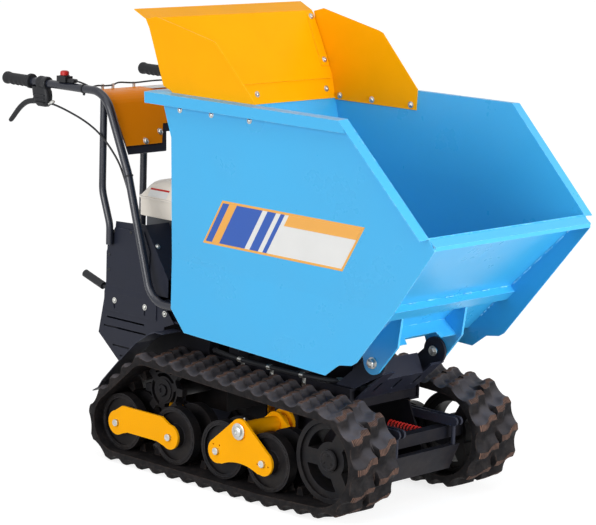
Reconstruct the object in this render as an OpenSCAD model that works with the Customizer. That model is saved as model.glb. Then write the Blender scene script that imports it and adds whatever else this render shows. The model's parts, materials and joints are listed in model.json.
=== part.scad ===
// Walk-behind tracked site dumper with a hydraulic tipping skip.
// +X is forward to the pouring lip, +Y is left, +Z is up; the lug tips stand on z = 0. Millimetres.

/* [Tracks] */
// Distance from the middle plane to the middle of each track
track_y = 262; // [250:1:290]
// Width of the rubber belt
track_w = 180; // [160:2:200]
// Thickness of the belt without its lugs
belt_t = 14; // [12:1:18]
// Height of the tread lugs
lug_h = 22; // [16:1:28]
// Wanted distance between lugs along the belt
lug_pitch = 65; // [55:1:80]
// Length of a lug at its top
lug_top = 26; // [20:1:32]
// Height of the guide teeth inside the belt
guide_h = 22; // [16:1:28]
// Width of the guide teeth
guide_w = 34; // [28:1:44]

/* [Running gear] */
// Radius of the road rollers
roller_r = 86; // [76:1:90]
// Position of the rearmost roller
roller_1_x = -301; // [-320:1:-285]
// Position of the second roller
roller_2_x = -72; // [-90:1:-60]
// Position of the third roller
roller_3_x = 130; // [115:1:140]
// Position of the fourth roller
roller_4_x = 317; // [310:1:335]
// Radius of the front idler
idler_r = 122; // [110:1:128]
// Position of the front idler
idler_x = 535; // [525:1:545]
// Height of the front idler's axle over the roller line
idler_lift = 12; // [4:1:24]
// Radius of the belt's seat on the sprocket
sprocket_r = 84; // [78:1:92]
// Position of the drive sprocket
sprocket_x = -168; // [-180:1:-150]
// Height of the drive sprocket's axle
sprocket_z = 237; // [228:1:250]
// Number of teeth on the sprocket
sprocket_teeth = 8; // [7:1:9]
// Thickness of the bogie plates
bogie_t = 8; // [6:1:10]
// Radius of the roller axles
axle_r = 10; // [8:1:12]

/* [Chassis] */
// Gap between each track and the rail beside it
rail_gap = 22; // [18:1:28]
// Wall thickness of the rails
rail_t = 6; // [5:1:8]
// Height of the rails' lower edge
rail_z = 270; // [268:1:280]
// Depth of the rails
rail_h = 70; // [60:1:80]
// Height of the engine deck
deck_z = 440; // [430:1:450]
// Thickness of the engine deck
deck_t = 5; // [4:1:8]
// Position of the rear panel's outer face
rear_x = -453; // [-465:1:-445]
// Distance from the middle plane to the outer face of the side panels
panel_y = 255; // [245:1:260]
// Thickness of the panels
panel_t = 3; // [2:0.5:4]

/* [Skip] */
// Position of the tipping pivot
pivot_x = 543; // [535:1:550]
// Height of the tipping pivot
pivot_z = 428; // [424:1:432]
// Sheet thickness of the skip
skip_t = 3; // [2:0.5:5]
// Outer half width of the skip at the front end of its crease
skip_half = 320; // [312:1:330]
// How far each side wall leans out from the crease to the rim
skip_flare = 32; // [24:1:40]
// How much nearer the middle each side wall is at the rear end of its crease
skip_toe = 11; // [0:1:16]
// How far the rear wall lies in front of the side walls' rear edges
wall_inset = 42; // [34:1:48]
// Height of the skip's rim
rim_z = 1138; // [1100:1:1180]
// Depth of the rear wall's upper bend under the rim
knee_drop = 131; // [110:1:150]
// Height of the floor's lower face
floor_z = 466; // [460:1:472]
// Width of the folded rim
rim_w = 33; // [24:1:40]
// Height of the rim's turned down edge
rim_drop = 32; // [20:1:40]
// Height of the pouring lip's upper edge
lip_z = 851; // [835:1:865]
// Position of the pouring lip's upper edge
lip_x = 898; // [890:1:905]
// Distance of the pivot brackets inside the rails' outer faces
bracket_in = 9; // [6:1:12]
// Thickness of the pivot brackets and of the stand's ears
bracket_t = 8; // [6:1:10]
// Radius of the pivot bolts
pivot_r = 11; // [9:0.5:13]

/* [Extension] */
// Sheet thickness of the extension
ext_t = 3; // [2:0.5:4]
// Height of the extension's upper fold over the rim
ext_rise = 203; // [160:1:230]
// Height of the extension's upper edge over the fold
ext_lip = 23; // [12:1:36]

/* [Tipping cylinder] */
// Radius of the barrel
barrel_r = 26; // [22:1:30]
// Radius of the rod
rod_r = 14; // [11:1:17]
// Position of the barrel's lower pin
ram_x = 330; // [320:1:340]
// Height of the barrel's lower pin
ram_z = 152; // [148:1:160]
// Distance of the rod's eye behind the tipping pivot
ram_arm = 150; // [140:1:160]
// Height of the rod's eye over the tipping pivot
ram_rise = 8; // [4:1:12]

/* [Handlebar] */
// Distance from the middle plane to each handle tube
handle_y = 285; // [275:1:295]
// Radius of the handle tubes
tube_r = 12.5; // [11:0.5:15]
// Height of the handle tubes at the grips
handle_z = 1102; // [1080:1:1120]
// Rear end of the grips
grip_x = -903; // [-915:1:-890]
// Length of the grips
grip_len = 130; // [110:1:150]
// Radius of the grips
grip_r = 19; // [17:0.5:21]

/* [Hidden] */
$fn = 48;
// Gap left between pieces that lie close without touching
gap = 0.3;
// Gap between the belt's inner face and the wheels
belt_seat = 0.8;
// Side gap at the pivots
pivot_gap = 1;
// A bent tube's straight lengths reach this far into its bends, which are this much thicker
bend_lap = 0.5;
bend_swell = 0.06;
roller_xs = [roller_1_x, roller_2_x, roller_3_x, roller_4_x];
roller_z = roller_r + belt_t + lug_h;
idler_z = idler_r + belt_t + lug_h + idler_lift;
rail_top = rail_z + rail_h;
track_in = track_y - track_w / 2;
rail_y = track_in - rail_gap;
bracket_y = rail_y - bracket_in;

function dir(a) = [cos(a), sin(a)];
function wrap(a) = a - 360 * floor(a / 360);
function heading(v) = atan2(v[1], v[0]);
function run(list, n) = n <= 0 ? 0 : list[n - 1] + run(list, n - 1);

// Belt route: the wheels in order, the outward normal of each straight run, and the lengths
wheels = [[roller_1_x, roller_z, roller_r], [roller_4_x, roller_z, roller_r],
          [idler_x, idler_z, idler_r], [sprocket_x, sprocket_z, sprocket_r]];
wheel_count = len(wheels);
function next(i) = (i + 1) % wheel_count;
function hub(i) = [wheels[i][0], wheels[i][1]];
function span(i) = norm(hub(next(i)) - hub(i));
function lean(i) = (wheels[i][2] - wheels[next(i)][2]) / span(i);
function side_angle(i) = heading(hub(next(i)) - hub(i)) - acos(lean(i));
function turn(i) = wrap(side_angle(i) - side_angle((i + wheel_count - 1) % wheel_count));
function start_angle(i) = side_angle((i + wheel_count - 1) % wheel_count);
function arc_len(i) = wheels[i][2] * turn(i) * PI / 180;
function line_len(i) = span(i) * sqrt(1 - pow(lean(i), 2));
belt_pieces = [for (i = [0 : wheel_count - 1]) for (k = [0, 1]) k == 0 ? arc_len(i) : line_len(i)];
belt_len = run(belt_pieces, 2 * wheel_count);
lug_count = round(belt_len / lug_pitch);
pitch = belt_len / lug_count;
function piece_at(s, k = 0) = s <= belt_pieces[k] || k == 2 * wheel_count - 1 ? [k, s]
    : piece_at(s - belt_pieces[k], k + 1);
function on_wheel(i, a, off) = hub(i) + (wheels[i][2] + off) * dir(a);
function on_belt(s0, off) = let(s = s0 - belt_len * floor(s0 / belt_len), p = piece_at(s),
    i = floor(p[0] / 2), a = start_angle(i) + turn(i))
    p[0] % 2 == 0 ? on_wheel(i, start_angle(i) + p[1] / wheels[i][2] * 180 / PI, off)
    : on_wheel(i, a, off) + p[1] * [-sin(a), cos(a)];
lug_slope = 10;

// Skip outlines seen from the side, [x, z]
crease_rear = [-107, 651];
crease_front = [768, 624];
crease_dir = heading(crease_front - crease_rear);
flare = atan(skip_flare / (rim_z - crease_rear[1]));
toe = atan(skip_toe / (crease_front[0] - crease_rear[0]));
rear_knee = [-97, rim_z - knee_drop];
rear_top = [-138, rim_z];
rear_low = [-107, 499];
front_top = [606, rim_z];
lip_edge = [lip_x, lip_z];
lip_nose = lip_edge + [24, -19];
lip_low = lip_edge + [22, -31];
low_front = [642, floor_z + 4];
low_step = [577, floor_z - 14];
low_flat = [624, floor_z - 7];
low_edge = [526, floor_z - 52];
low_rear = [-49, floor_z - 30];
floor_rear = [-45, floor_z];
floor_front = [509, floor_z];
function in_lower(p) = let(d = p - crease_rear)
    [d[0] * cos(crease_dir) + d[1] * sin(crease_dir), d[1] * cos(crease_dir) - d[0] * sin(crease_dir)];
function in_upper(p) = let(q = in_lower(p)) [q[0], q[1] / cos(flare)];

// Extension outline seen from the side
ext_fold_z = rim_z + ext_rise;
ext_top_z = ext_fold_z + ext_lip;
rear_lean = (rear_top - rear_knee) / norm(rear_top - rear_knee);
function on_rear(d) = rear_knee + [wall_inset, 0] + d * rear_lean + (skip_t + gap) * [rear_lean[1], -rear_lean[0]];
ext_low = on_rear(80);
ext_bend = on_rear(156);
ext_fold = [-200, ext_fold_z];
ext_edge = [-250, ext_top_z];
wing_outline = [on_rear(76), [252, rim_z - 58], [251, rim_z + 4], [97, ext_fold_z - 44], [79, ext_fold_z - 38],
                [-150, ext_fold_z + 11], [-190, ext_fold_z], [-128, rim_z + 16], on_rear(140)];

// Tipping cylinder: pins at rest
ram_foot = [ram_x, ram_z];
ram_eye = [pivot_x - ram_arm, pivot_z + ram_rise];
ram_len = norm(ram_eye - ram_foot);
ram_angle = heading(ram_eye - ram_foot);
eye_r = 20;
eye_w = 28;

// Handlebar route and console outline seen from the side
bar_bend = [-437, handle_z];
bar_knee = [-330, 868];
bar_foot = [-216, 497];
bar_end = [-112, 497];
dash_rear = [-528, handle_z - 4];
dash_bend = [-446, handle_z - 4];
dash_low = [-362, 946];
dash_half = handle_y - tube_r - 10;
dash_r = 60;
dash_line = concat([dash_rear], eased(dash_rear, dash_bend, dash_low, dash_r, 6), [dash_low]);
post_r = 11;
post_x = rear_x - post_r - gap;

skip_blue = [0.34, 0.70, 0.92];
frame_black = [0.20, 0.21, 0.25];
sun_yellow = [1.00, 0.69, 0.10];
dash_orange = [0.80, 0.43, 0.05];
rubber_black = [0.21, 0.20, 0.19];
zinc = [0.72, 0.72, 0.70];
spring_red = [0.80, 0.08, 0.06];
tank_cream = [0.88, 0.84, 0.78];
engine_grey = [0.45, 0.46, 0.47];

function unit(v) = v / norm(v);
function right_of(v) = [v[1], -v[0]];
function joint_normal(p, i, n) = i == 0 ? right_of(unit(p[1] - p[0]))
    : i == n ? right_of(unit(p[n] - p[n - 1]))
    : let(a = right_of(unit(p[i] - p[i - 1])), b = right_of(unit(p[i + 1] - p[i]))) (a + b) / (1 + a * b);
// The same line moved by t to its right
function moved(p, t) = let(n = len(p) - 1) [for (i = [0 : n]) p[i] + t * joint_normal(p, i, n)];
// A corner that turns right, rounded with radius r in n steps
function eased(a, b, c, r, n) = let(u = unit(b - a), v = unit(c - b), w = acos(u * v), d = r * tan(w / 2),
    m = b - d * u + r * right_of(u))
    [for (k = [0 : n]) m + r * [cos(90 + heading(u) - w * k / n), sin(90 + heading(u) - w * k / n)]];
// Outline of a folded sheet: the given line and the same line moved by t to its right
function sheet(p, t) = let(n = len(p) - 1)
    concat(p, [for (i = [n : -1 : 0]) p[i] + t * joint_normal(p, i, n)]);

// An [x, z] outline drawn out from y0 to y1
module along_y(y0, y1) {
    translate([0, y1, 0]) rotate([90, 0, 0]) linear_extrude(y1 - y0) children();
}

// A [y, z] outline drawn out from x0 to x1
module along_x(x0, x1) {
    translate([x0, 0, 0]) rotate([90, 0, 90]) linear_extrude(x1 - x0) children();
}

module rod_y(c, r, y0, y1) {
    translate([c[0], y1, c[1]]) rotate([90, 0, 0]) cylinder(r = r, h = y1 - y0);
}

module box(a, b) {
    translate(a) cube(b - a);
}

module rounded(w, h, r) {
    square([w - 2 * r, h], center = true);
    square([w, h - 2 * r], center = true);
    for (x = [-1, 1], y = [-1, 1]) translate([x * (w / 2 - r), y * (h / 2 - r)]) circle(r);
}

module both() {
    children();
    mirror([0, 1, 0]) children();
}

// A round bar along a bent line in a plane; each inner corner has its own bend radius
module bent_bar(p, bend, r) {
    n = len(p) - 1;
    function d(i) = unit(p[i + 1] - p[i]);
    function veer(i) = heading([d(i - 1) * d(i), d(i - 1)[0] * d(i)[1] - d(i - 1)[1] * d(i)[0]]);
    function cut(i) = i == 0 || i == n ? 0 : bend[i - 1] * tan(abs(veer(i)) / 2);
    for (i = [0 : n - 1]) {
        a = p[i] + (cut(i) - (i == 0 ? 0 : bend_lap)) * d(i);
        b = p[i + 1] - (cut(i + 1) - (i == n - 1 ? 0 : bend_lap)) * d(i);
        translate([a[0], a[1], 0]) rotate([0, 90, heading(d(i))]) cylinder(r = r, h = norm(b - a));
    }
    for (i = [1 : n - 1]) {
        s = sign(veer(i));
        c = p[i] - cut(i) * d(i - 1) - s * bend[i - 1] * right_of(d(i - 1));
        first = heading(s * right_of(d(i - 1)));
        translate([c[0], c[1], 0]) rotate([0, 0, s > 0 ? first : first + veer(i)])
            rotate_extrude(angle = abs(veer(i))) translate([bend[i - 1], 0]) circle(r + bend_swell);
    }
}

// Moves the machine to the middle of its length
module centred() {
    translate([-(grip_x + lip_nose[0]) / 2, 0, 0]) children();
}

module in_side_plane(y) {
    translate([0, y, 0]) rotate([90, 0, 0]) children();
}

// Tracks

module belt_row(y0, y1, phase) {
    half_top = lug_top / 2;
    half_foot = half_top + lug_slope;
    outer = [for (k = [0 : lug_count - 1]) for (q = [[-half_foot, 0], [-half_top, 1], [half_top, 1], [half_foot, 0]])
        on_belt((k + phase) * pitch + q[0], belt_t + lug_h * q[1])];
    inner = [for (i = [0 : wheel_count - 1]) let(n = ceil(turn(i) / 10)) for (k = [0 : n])
        on_wheel(i, start_angle(i) + turn(i) * k / n, belt_seat)];
    along_y(y0, y1) difference() {
        polygon(outer);
        polygon(inner);
    }
}

module belt() {
    belt_row(0, track_w / 2, 0);
    belt_row(-track_w / 2, 0, 0.5);
    for (k = [0 : lug_count - 1]) along_y(-guide_w / 2, guide_w / 2) polygon([
        on_belt(k * pitch - 14, belt_seat + 2), on_belt(k * pitch + 14, belt_seat + 2),
        on_belt(k * pitch + 8, -guide_h), on_belt(k * pitch - 8, -guide_h)]);
}

module track_right() {
    color(rubber_black) centred() translate([0, -track_y, 0]) mirror([0, 1, 0]) belt();
}

module track_left() {
    color(rubber_black) centred() translate([0, track_y, 0]) belt();
}

// Rollers are twin discs that straddle the guide teeth
disc_in = guide_w / 2 + 8;
disc_out = 55;
plate_in = disc_out + 13;

module roller(x) {
    difference() {
        union() {
            for (s = [-1, 1]) rod_y([x, roller_z], roller_r, min(s * disc_in, s * disc_out), max(s * disc_in, s * disc_out));
            rod_y([x, roller_z], 34, -plate_in + gap, plate_in - gap);
        }
        for (s = [-1, 1]) translate([x, s * disc_out, roller_z]) rotate([90, 0, 0]) difference() {
            cylinder(r = roller_r - 14, h = 20, center = true);
            cylinder(r = 34, h = 24, center = true);
        }
        rod_y([x, roller_z], axle_r + gap, -plate_in - 1, plate_in + 1);
    }
}

module rollers() {
    for (x = roller_xs) roller(x);
}

module rollers_right() {
    color(frame_black) centred() translate([0, -track_y, 0]) mirror([0, 1, 0]) rollers();
}

module rollers_left() {
    color(frame_black) centred() translate([0, track_y, 0]) rollers();
}

idler_axle_r = 15;

idler_half = 40;
idler_web = disc_in + 6;
idler_hub = 52;
idler_window = idler_r - guide_h - 10;
spoke_w = 44;

// Three windows between three spokes
module idler_windows() {
    difference() {
        circle(idler_window);
        circle(idler_hub);
        for (k = [0 : 2]) rotate(60 + 120 * k) translate([0, -spoke_w / 2]) square([idler_r, spoke_w]);
    }
}

module idler() {
    difference() {
        union() {
            rod_y([idler_x, idler_z], idler_r, -idler_half, idler_half);
            rod_y([idler_x, idler_z], 32, -60, idler_half - 2);
        }
        for (s = [-1, 1]) translate([idler_x, s * (idler_web + 30), idler_z]) rotate([90, 0, 0]) difference() {
            cylinder(r = idler_r - 14, h = 60, center = true);
            cylinder(r = 32, h = 64, center = true);
        }
        translate([idler_x, 0, idler_z]) rotate([90, 0, 0]) difference() {
            cylinder(r = idler_r + 5, h = 2 * disc_in, center = true);
            cylinder(r = idler_r - guide_h - 4, h = 2 * disc_in + 2, center = true);
        }
        along_y(-61, 61) translate([idler_x, idler_z]) idler_windows();
        rod_y([idler_x, idler_z], idler_axle_r + gap, -61, 61);
    }
}

module idler_right() {
    color(frame_black) centred() translate([0, -track_y, 0]) mirror([0, 1, 0]) idler();
}

module idler_left() {
    color(frame_black) centred() translate([0, track_y, 0]) idler();
}

shaft_r = 20;

// The sprocket's teeth stand in the gaps between the belt's guide teeth
sprocket_start = run(belt_pieces, 6);
first_gap = (ceil(sprocket_start / pitch) + 0.5) * pitch - sprocket_start;
sprocket_phase = start_angle(3) + first_gap / sprocket_r * 180 / PI;

sprocket_half = 10;
sprocket_hub = 34;

// Long curved windows around the hub
module sprocket_windows() {
    difference() {
        circle(sprocket_r - guide_h - 10);
        circle(sprocket_hub + 7);
        for (k = [0 : 2]) rotate(20 + 120 * k) translate([0, -12]) square([sprocket_r, 24]);
    }
}

module sprocket() {
    tip = sprocket_r - 4;
    root = sprocket_r - guide_h - 4;
    step = 360 / sprocket_teeth;
    difference() {
        union() {
            along_y(-sprocket_half, sprocket_half) translate([sprocket_x, sprocket_z])
                polygon([for (k = [0 : sprocket_teeth - 1]) for (q = [[-0.26, 0], [-0.17, 1], [0.17, 1], [0.26, 0]])
                    (root + (tip - root) * q[1]) * dir(sprocket_phase + (k + q[0]) * step)]);
            rod_y([sprocket_x, sprocket_z], sprocket_hub, -56, sprocket_half + 4);
        }
        along_y(-sprocket_half - 1, sprocket_half + 1) translate([sprocket_x, sprocket_z]) sprocket_windows();
        rod_y([sprocket_x, sprocket_z], shaft_r + gap, -60, 60);
    }
}

module sprocket_right() {
    color(frame_black) centred() translate([0, -track_y, 0]) mirror([0, 1, 0]) sprocket();
}

module sprocket_left() {
    color(frame_black) centred() translate([0, track_y, 0]) sprocket();
}

// Bogies: plates on both sides of the rollers, the roller axles and the pivot tubes to the rails
bogie_pivot = [(roller_3_x + roller_4_x) / 2 - 3, roller_z + 76];
link_pivot = [(roller_1_x + roller_2_x) / 2, roller_z];
rail_in = -(track_y - rail_y);
pivot_tube_r = 24;

lobe_r = 36;
lobe_lap = 0.4;

module link_plate() {
    a = [roller_1_x, roller_z];
    b = [roller_2_x, roller_z];
    for (c = [a, b]) translate(c) circle(37);
    polygon([a + [-28, 24], a + [22, 55], b + [-35, 55], b + [31, 20], b + [-20, -31], b + [-53, -22], a + [47, -22], a + [20, -31]]);
}

module bogie_plate() {
    a = [roller_3_x, roller_z];
    b = [roller_4_x, roller_z];
    up_a = (lobe_r - lobe_lap) * dir(heading(bogie_pivot - a) + 90);
    up_b = (lobe_r - lobe_lap) * dir(heading(b - bogie_pivot) + 90);
    belly_r = 174;
    for (c = [a, b, bogie_pivot]) translate(c) circle(lobe_r);
    difference() {
        polygon([a + up_a, bogie_pivot + up_a, bogie_pivot + up_b, b + up_b, b - [10, 34], a + [10, -34]]);
        translate([(a[0] + b[0]) / 2, roller_z - 18 - belly_r]) circle(belly_r, $fn = 180);
    }
}

module bogies() {
    difference() {
        for (s = [-1, 1]) {
            y0 = min(s * plate_in, s * (plate_in + bogie_t));
            along_y(y0, y0 + bogie_t) link_plate();
            along_y(y0, y0 + bogie_t) bogie_plate();
        }
        for (q = [[roller_3_x - 15, 18], [roller_3_x + 10, 18], [roller_4_x - 22, -6], [roller_4_x + 21, -6]])
            rod_y([q[0], roller_z + q[1]], 3, plate_in - 1, plate_in + bogie_t + 1);
    }
    for (x = roller_xs) rod_y([x, roller_z], axle_r, -plate_in - bogie_t - 6, plate_in + bogie_t + 8);
    rod_y(bogie_pivot, pivot_tube_r, rail_in + 10, plate_in + bogie_t + 4);
    rod_y(link_pivot, pivot_tube_r, rail_in + 10, -plate_in);
    for (c = [link_pivot, bogie_pivot]) rod_y(c, 40, rail_in, rail_in + 10);
    rod_y(bogie_pivot, 12, 0, plate_in + bogie_t + 12);
}

module bogies_right() {
    color(sun_yellow) centred() translate([0, -track_y, 0]) mirror([0, 1, 0]) bogies();
}

module bogies_left() {
    color(sun_yellow) centred() translate([0, track_y, 0]) bogies();
}

// Front beam that carries both idlers, pushed forward by two springs
beam_x0 = idler_x + 36;
beam_x1 = beam_x0 + 35;
beam_z = idler_z + 12;

module front_beam() {
    color(frame_black) centred() {
        box([beam_x0, -track_y + 70, beam_z], [beam_x1, track_y - 70, beam_z + 35]);
        both() {
            difference() {
                along_y(track_y - 84, track_y - 70) {
                    translate([idler_x, idler_z]) circle(32);
                    polygon([[idler_x - 10, idler_z - 20], [beam_x0 + 10, idler_z - 12], [beam_x0 + 10, beam_z + 35],
                             [idler_x - 10, idler_z + 30]]);
                }
            }
            rod_y([idler_x, idler_z], idler_axle_r, track_y - 72, track_y + idler_half - 8);
        }
    }
}

module spring_profile() {
    coils = 9;
    len = beam_x0 - gap - 440;
    step = len / coils;
    polygon(concat([[0, 0]], [for (k = [0 : coils - 1]) for (q = [[12, 0], [17, 0.5]]) [q[0], (k + q[1]) * step]],
                   [[12, len], [0, len]]));
}

module tension_springs() {
    color(spring_red) centred() for (s = [-1, 1]) translate([440, s * spring_y, beam_z + 17]) rotate([0, 90, 0])
        rotate_extrude($fn = 24) spring_profile();
}

// Front guard bars beside the belly pan, with their pillars on its nose
arm_y = track_in - 62;
pan_y = arm_y - gap;
spring_y = pan_y / 2;
nose_low = [602, 88];
nose_top = [638, 168];

module guard_bars() {
    color(frame_black) centred() both() for (y = [arm_y, arm_y + 20]) {
        along_y(y, y + 7) {
            translate([rail_front - 30, beam_z + 42]) square([nose_top[0] - rail_front + 30, 26]);
            translate([nose_top[0], beam_z + 55]) circle(13);
        }
    }
}

module guard_pillars() {
    color(frame_black) centred() both() translate([nose_top[0] - 10, arm_y + 13.5, nose_top[1]])
        cylinder(r = 6.5 - gap, h = beam_z + 66 - nose_top[1]);
}

// Chassis
rail_front = 470;
step_x = -104;
pad_x = -20;
pad_h = 12;

module rail_outline() {
    polygon([[rear_x + panel_t + gap, rail_z], [rail_front, rail_z], [rail_front, rail_top], [step_x, rail_top],
             [step_x, deck_z], [rear_x + panel_t + gap, deck_z]]);
}

module chassis_frame() {
    color(frame_black) centred() {
        both() difference() {
            along_y(rail_y - 40, rail_y) rail_outline();
            box([-600, rail_y - 41, rail_z + rail_t], [step_x - rail_t, rail_y - rail_t, deck_z - rail_t]);
            box([step_x - rail_t - 1, rail_y - 41, rail_z + rail_t], [600, rail_y - rail_t, rail_top - rail_t]);
        }
        for (q = [[-430, -390], [-30, 10], [190, 230], [rail_front - 30, rail_front - 8]])
            box([q[0], -rail_y + rail_t, rail_z + rail_t], [q[1], rail_y - rail_t, rail_top - rail_t]);
        both() box([pad_x, rail_y - 40, rail_top], [pad_x + 40, rail_y, floor_z - pad_h]);
        both() along_y(rail_y - 8, rail_y) {
            polygon([[-290, rail_z], [-212, rail_z], [-212, 176], [link_pivot[0] + 40, 146], [link_pivot[0] + 40, 84],
                     [link_pivot[0] - 40, 84], [link_pivot[0] - 60, 150]]);
            translate([bogie_pivot[0] - 44, bogie_pivot[1] - 44]) square([88, rail_z - bogie_pivot[1] + 44]);
        }
    }
}

module rest_pads() {
    color(rubber_black) centred() both() box([pad_x, rail_y - 40, floor_z - pad_h], [pad_x + 40, rail_y, floor_z - gap]);
}

// Belly pan with a rising nose; it carries the foot of the tipping cylinder
nose_half = track_in - 30;
pan_rear = 150;

module belly_pan() {
    color(frame_black) centred() {
        along_y(-pan_y, pan_y) polygon(sheet([nose_low + [-4, 0], [pan_rear, 88]], 5));
        along_y(-nose_half, nose_half) polygon(sheet([nose_top + [-24, 0], nose_top, nose_low, nose_low - [8, 0]], 5));
        both() along_y(pan_y - 5, pan_y) polygon([[pan_rear, 88], [560, 88], [520, 150], [rail_front, rail_z], [pan_rear, rail_z]]);
        both() difference() {
            along_y(eye_w / 2 + pivot_gap, eye_w / 2 + pivot_gap + 8) {
                translate(ram_foot) circle(22);
                translate([ram_x - 30, 92]) square([60, ram_z - 92]);
            }
        }
        rod_y(ram_foot, 10, -eye_w / 2 - pivot_gap - 12, eye_w / 2 + pivot_gap + 12);
    }
}

// Stand with the two ears of the tipping pivot and the slotted front plate
ear_out = bracket_y - bracket_t - pivot_gap;
ear_in = ear_out - bracket_t;
ear_r = 40;
slope_low = [rail_front, rail_top - 36];
flap_half = 78;
slope_top = [pivot_x + 1, pivot_z - 57];
slope_end = slope_top + 0.39 * (slope_top - slope_low);
flap_top = [pivot_x - 25, pivot_z - 4];

module pivot_stand() {
    color(frame_black) centred() {
        both() difference() {
            along_y(ear_in, ear_out) {
                translate([pivot_x, pivot_z]) circle(ear_r);
                polygon([[rail_front - 70, rail_top], [rail_front, rail_top], slope_end, [pivot_x + ear_r, pivot_z],
                         [pivot_x - ear_r, pivot_z]]);
            }
            rod_y([pivot_x, pivot_z], pivot_r + 0.05, ear_in - 1, ear_out + 1);
        }
        difference() {
            union() {
                along_y(-flap_half, flap_half) polygon(sheet([flap_top, slope_top, slope_low], 6));
                both() along_y(flap_half, ear_in) polygon(sheet([slope_end, slope_low], 6));
            }
            for (y = [-85, 0, 85]) translate([515, y, 341]) rotate([0, -42, 0]) {
                box([-20, -6, -30], [20, 6, 30]);
                for (x = [-20, 20]) translate([x, 0, 0]) cylinder(r = 6, h = 60, center = true);
            }
        }
    }
}

// Drive: gearbox with the shafts to both sprockets
gearbox_half = rail_y - 55;

module transmission() {
    color(engine_grey) centred() {
        box([sprocket_x - 90, -gearbox_half, 160], [sprocket_x + 90, gearbox_half, 330]);
        box([sprocket_x - 60, -rail_y + rail_t + 4, rail_z + rail_t + gap], [sprocket_x + 60, rail_y - rail_t - 4, rail_z + rail_t + 14]);
        rod_y([sprocket_x, sprocket_z], 28, -track_y + 58, track_y - 58);
        rod_y([sprocket_x, sprocket_z], shaft_r, -track_y - sprocket_half, track_y + sprocket_half);
    }
}

// Engine on the deck behind the skip
module engine_deck() {
    color(frame_black) centred() box([rear_x + panel_t + gap, -panel_y + panel_t, deck_z], [step_x, panel_y - panel_t, deck_z + deck_t]);
}

engine_z = deck_z + deck_t;

module engine_block() {
    color(engine_grey) centred() {
        box([-410, -130, engine_z], [-200, 130, engine_z + 60]);
        box([-390, -150, engine_z + 60], [-240, 110, engine_z + 278]);
        box([-240, -90, engine_z + 120], [-180, 90, engine_z + 250]);
    }
}

module fuel_tank() {
    color(tank_cream) centred() translate([-325, -60, engine_z + 278]) {
        linear_extrude(56) rounded(195, 215, 36);
        translate([0, 0, 56]) linear_extrude(4) rounded(205, 225, 40);
        translate([0, 0, 60]) linear_extrude(50) rounded(195, 215, 36);
    }
}

module muffler() {
    color(zinc) centred() translate([-300, 150, engine_z + 170]) rotate([0, 90, 0]) cylinder(r = 40 - gap, h = 150, center = true);
}

// Body panels
panel_front = -262;
skirt_z = deck_z + 70;
skirt_y = panel_y + 2 * panel_t + gap;
skirt_low = deck_z - 4;
skirt_slots = [-406, -271];
panel_outline = [[rear_x, skirt_z], [rear_x, 614], [-417, 692], [-290, 696], [panel_front, 640], [panel_front, skirt_z]];

module side_panel() {
    along_y(panel_y - panel_t, panel_y) polygon(panel_outline);
    difference() {
        along_x(rear_x, panel_front + 40) polygon(sheet([[panel_y, skirt_z + panel_t], [panel_y, skirt_z],
            [skirt_y, skirt_z - 18], [skirt_y, skirt_low]], panel_t));
        for (x = skirt_slots) along_y(panel_y, skirt_y + 1) {
            translate([x - 4, skirt_low + 12]) square([8, 26]);
            for (z = [12, 38]) translate([x, skirt_low + z]) circle(4);
        }
    }
}

module side_panel_right() {
    color(frame_black) centred() mirror([0, 1, 0]) side_panel();
}

module side_panel_left() {
    color(frame_black) centred() side_panel();
}

module rear_panel() {
    color(frame_black) centred() box([rear_x, -panel_y + panel_t, 330], [rear_x + panel_t, panel_y - panel_t, 640]);
}

guard_top = skirt_z - 22;
guard_slots = [[-442, -278, 414], [-454, -269, 386], [-412, -308, 331], [-380, -338, 303]];
fender_out = 330;
fender_line = [[-118, 421], [-152, 421], [-178, 411], [-233, 376], [-304, 309.5], [-379, 234.5], [-396, 210], [-421, 196]];
fender_mid = moved(fender_line, panel_t / 2);
fender_end = (fender_mid[4] + 2 * fender_mid[5]) / 3;

// Side plate with slots over a folded fender strip that follows the belt's rear slope
module guard() {
    difference() {
        along_y(panel_y, panel_y + panel_t) polygon([[rear_x, guard_top], [-480, 360], fender_end, fender_mid[4], fender_mid[3],
            [-192, 403.9], [-188, 423], [-146, 439], [-192, guard_top]]);
        for (q = guard_slots) along_y(panel_y - 1, panel_y + panel_t + 1) {
            translate([q[0], q[2] - 3]) square([q[1] - q[0], 6]);
            for (x = [q[0], q[1]]) translate([x, q[2]]) circle(3);
        }
    }
    along_y(panel_y, fender_out) polygon(sheet(fender_line, panel_t));
}

module guard_right() {
    color(frame_black) centred() mirror([0, 1, 0]) guard();
}

module guard_left() {
    color(frame_black) centred() guard();
}

// Handlebar
bar_line = [[grip_x + 6, handle_z], bar_bend, bar_knee, bar_foot, bar_end];
bar_bends = [90, 200, 80];
foot_x = -190;
foot_len = 70;
foot_y = panel_y - 24;

module handle_tube() {
    in_side_plane(handle_y) bent_bar(bar_line, bar_bends, tube_r);
    box([foot_x, foot_y, bar_foot[1] - 8], [foot_x + foot_len, handle_y, bar_foot[1] + 8]);
    box([foot_x, foot_y, engine_z + gap], [foot_x + foot_len, foot_y + 8, bar_foot[1] + 8]);
}

module handle_tube_right() {
    color(frame_black) centred() mirror([0, 1, 0]) handle_tube();
}

module handle_tube_left() {
    color(frame_black) centred() handle_tube();
}

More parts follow.
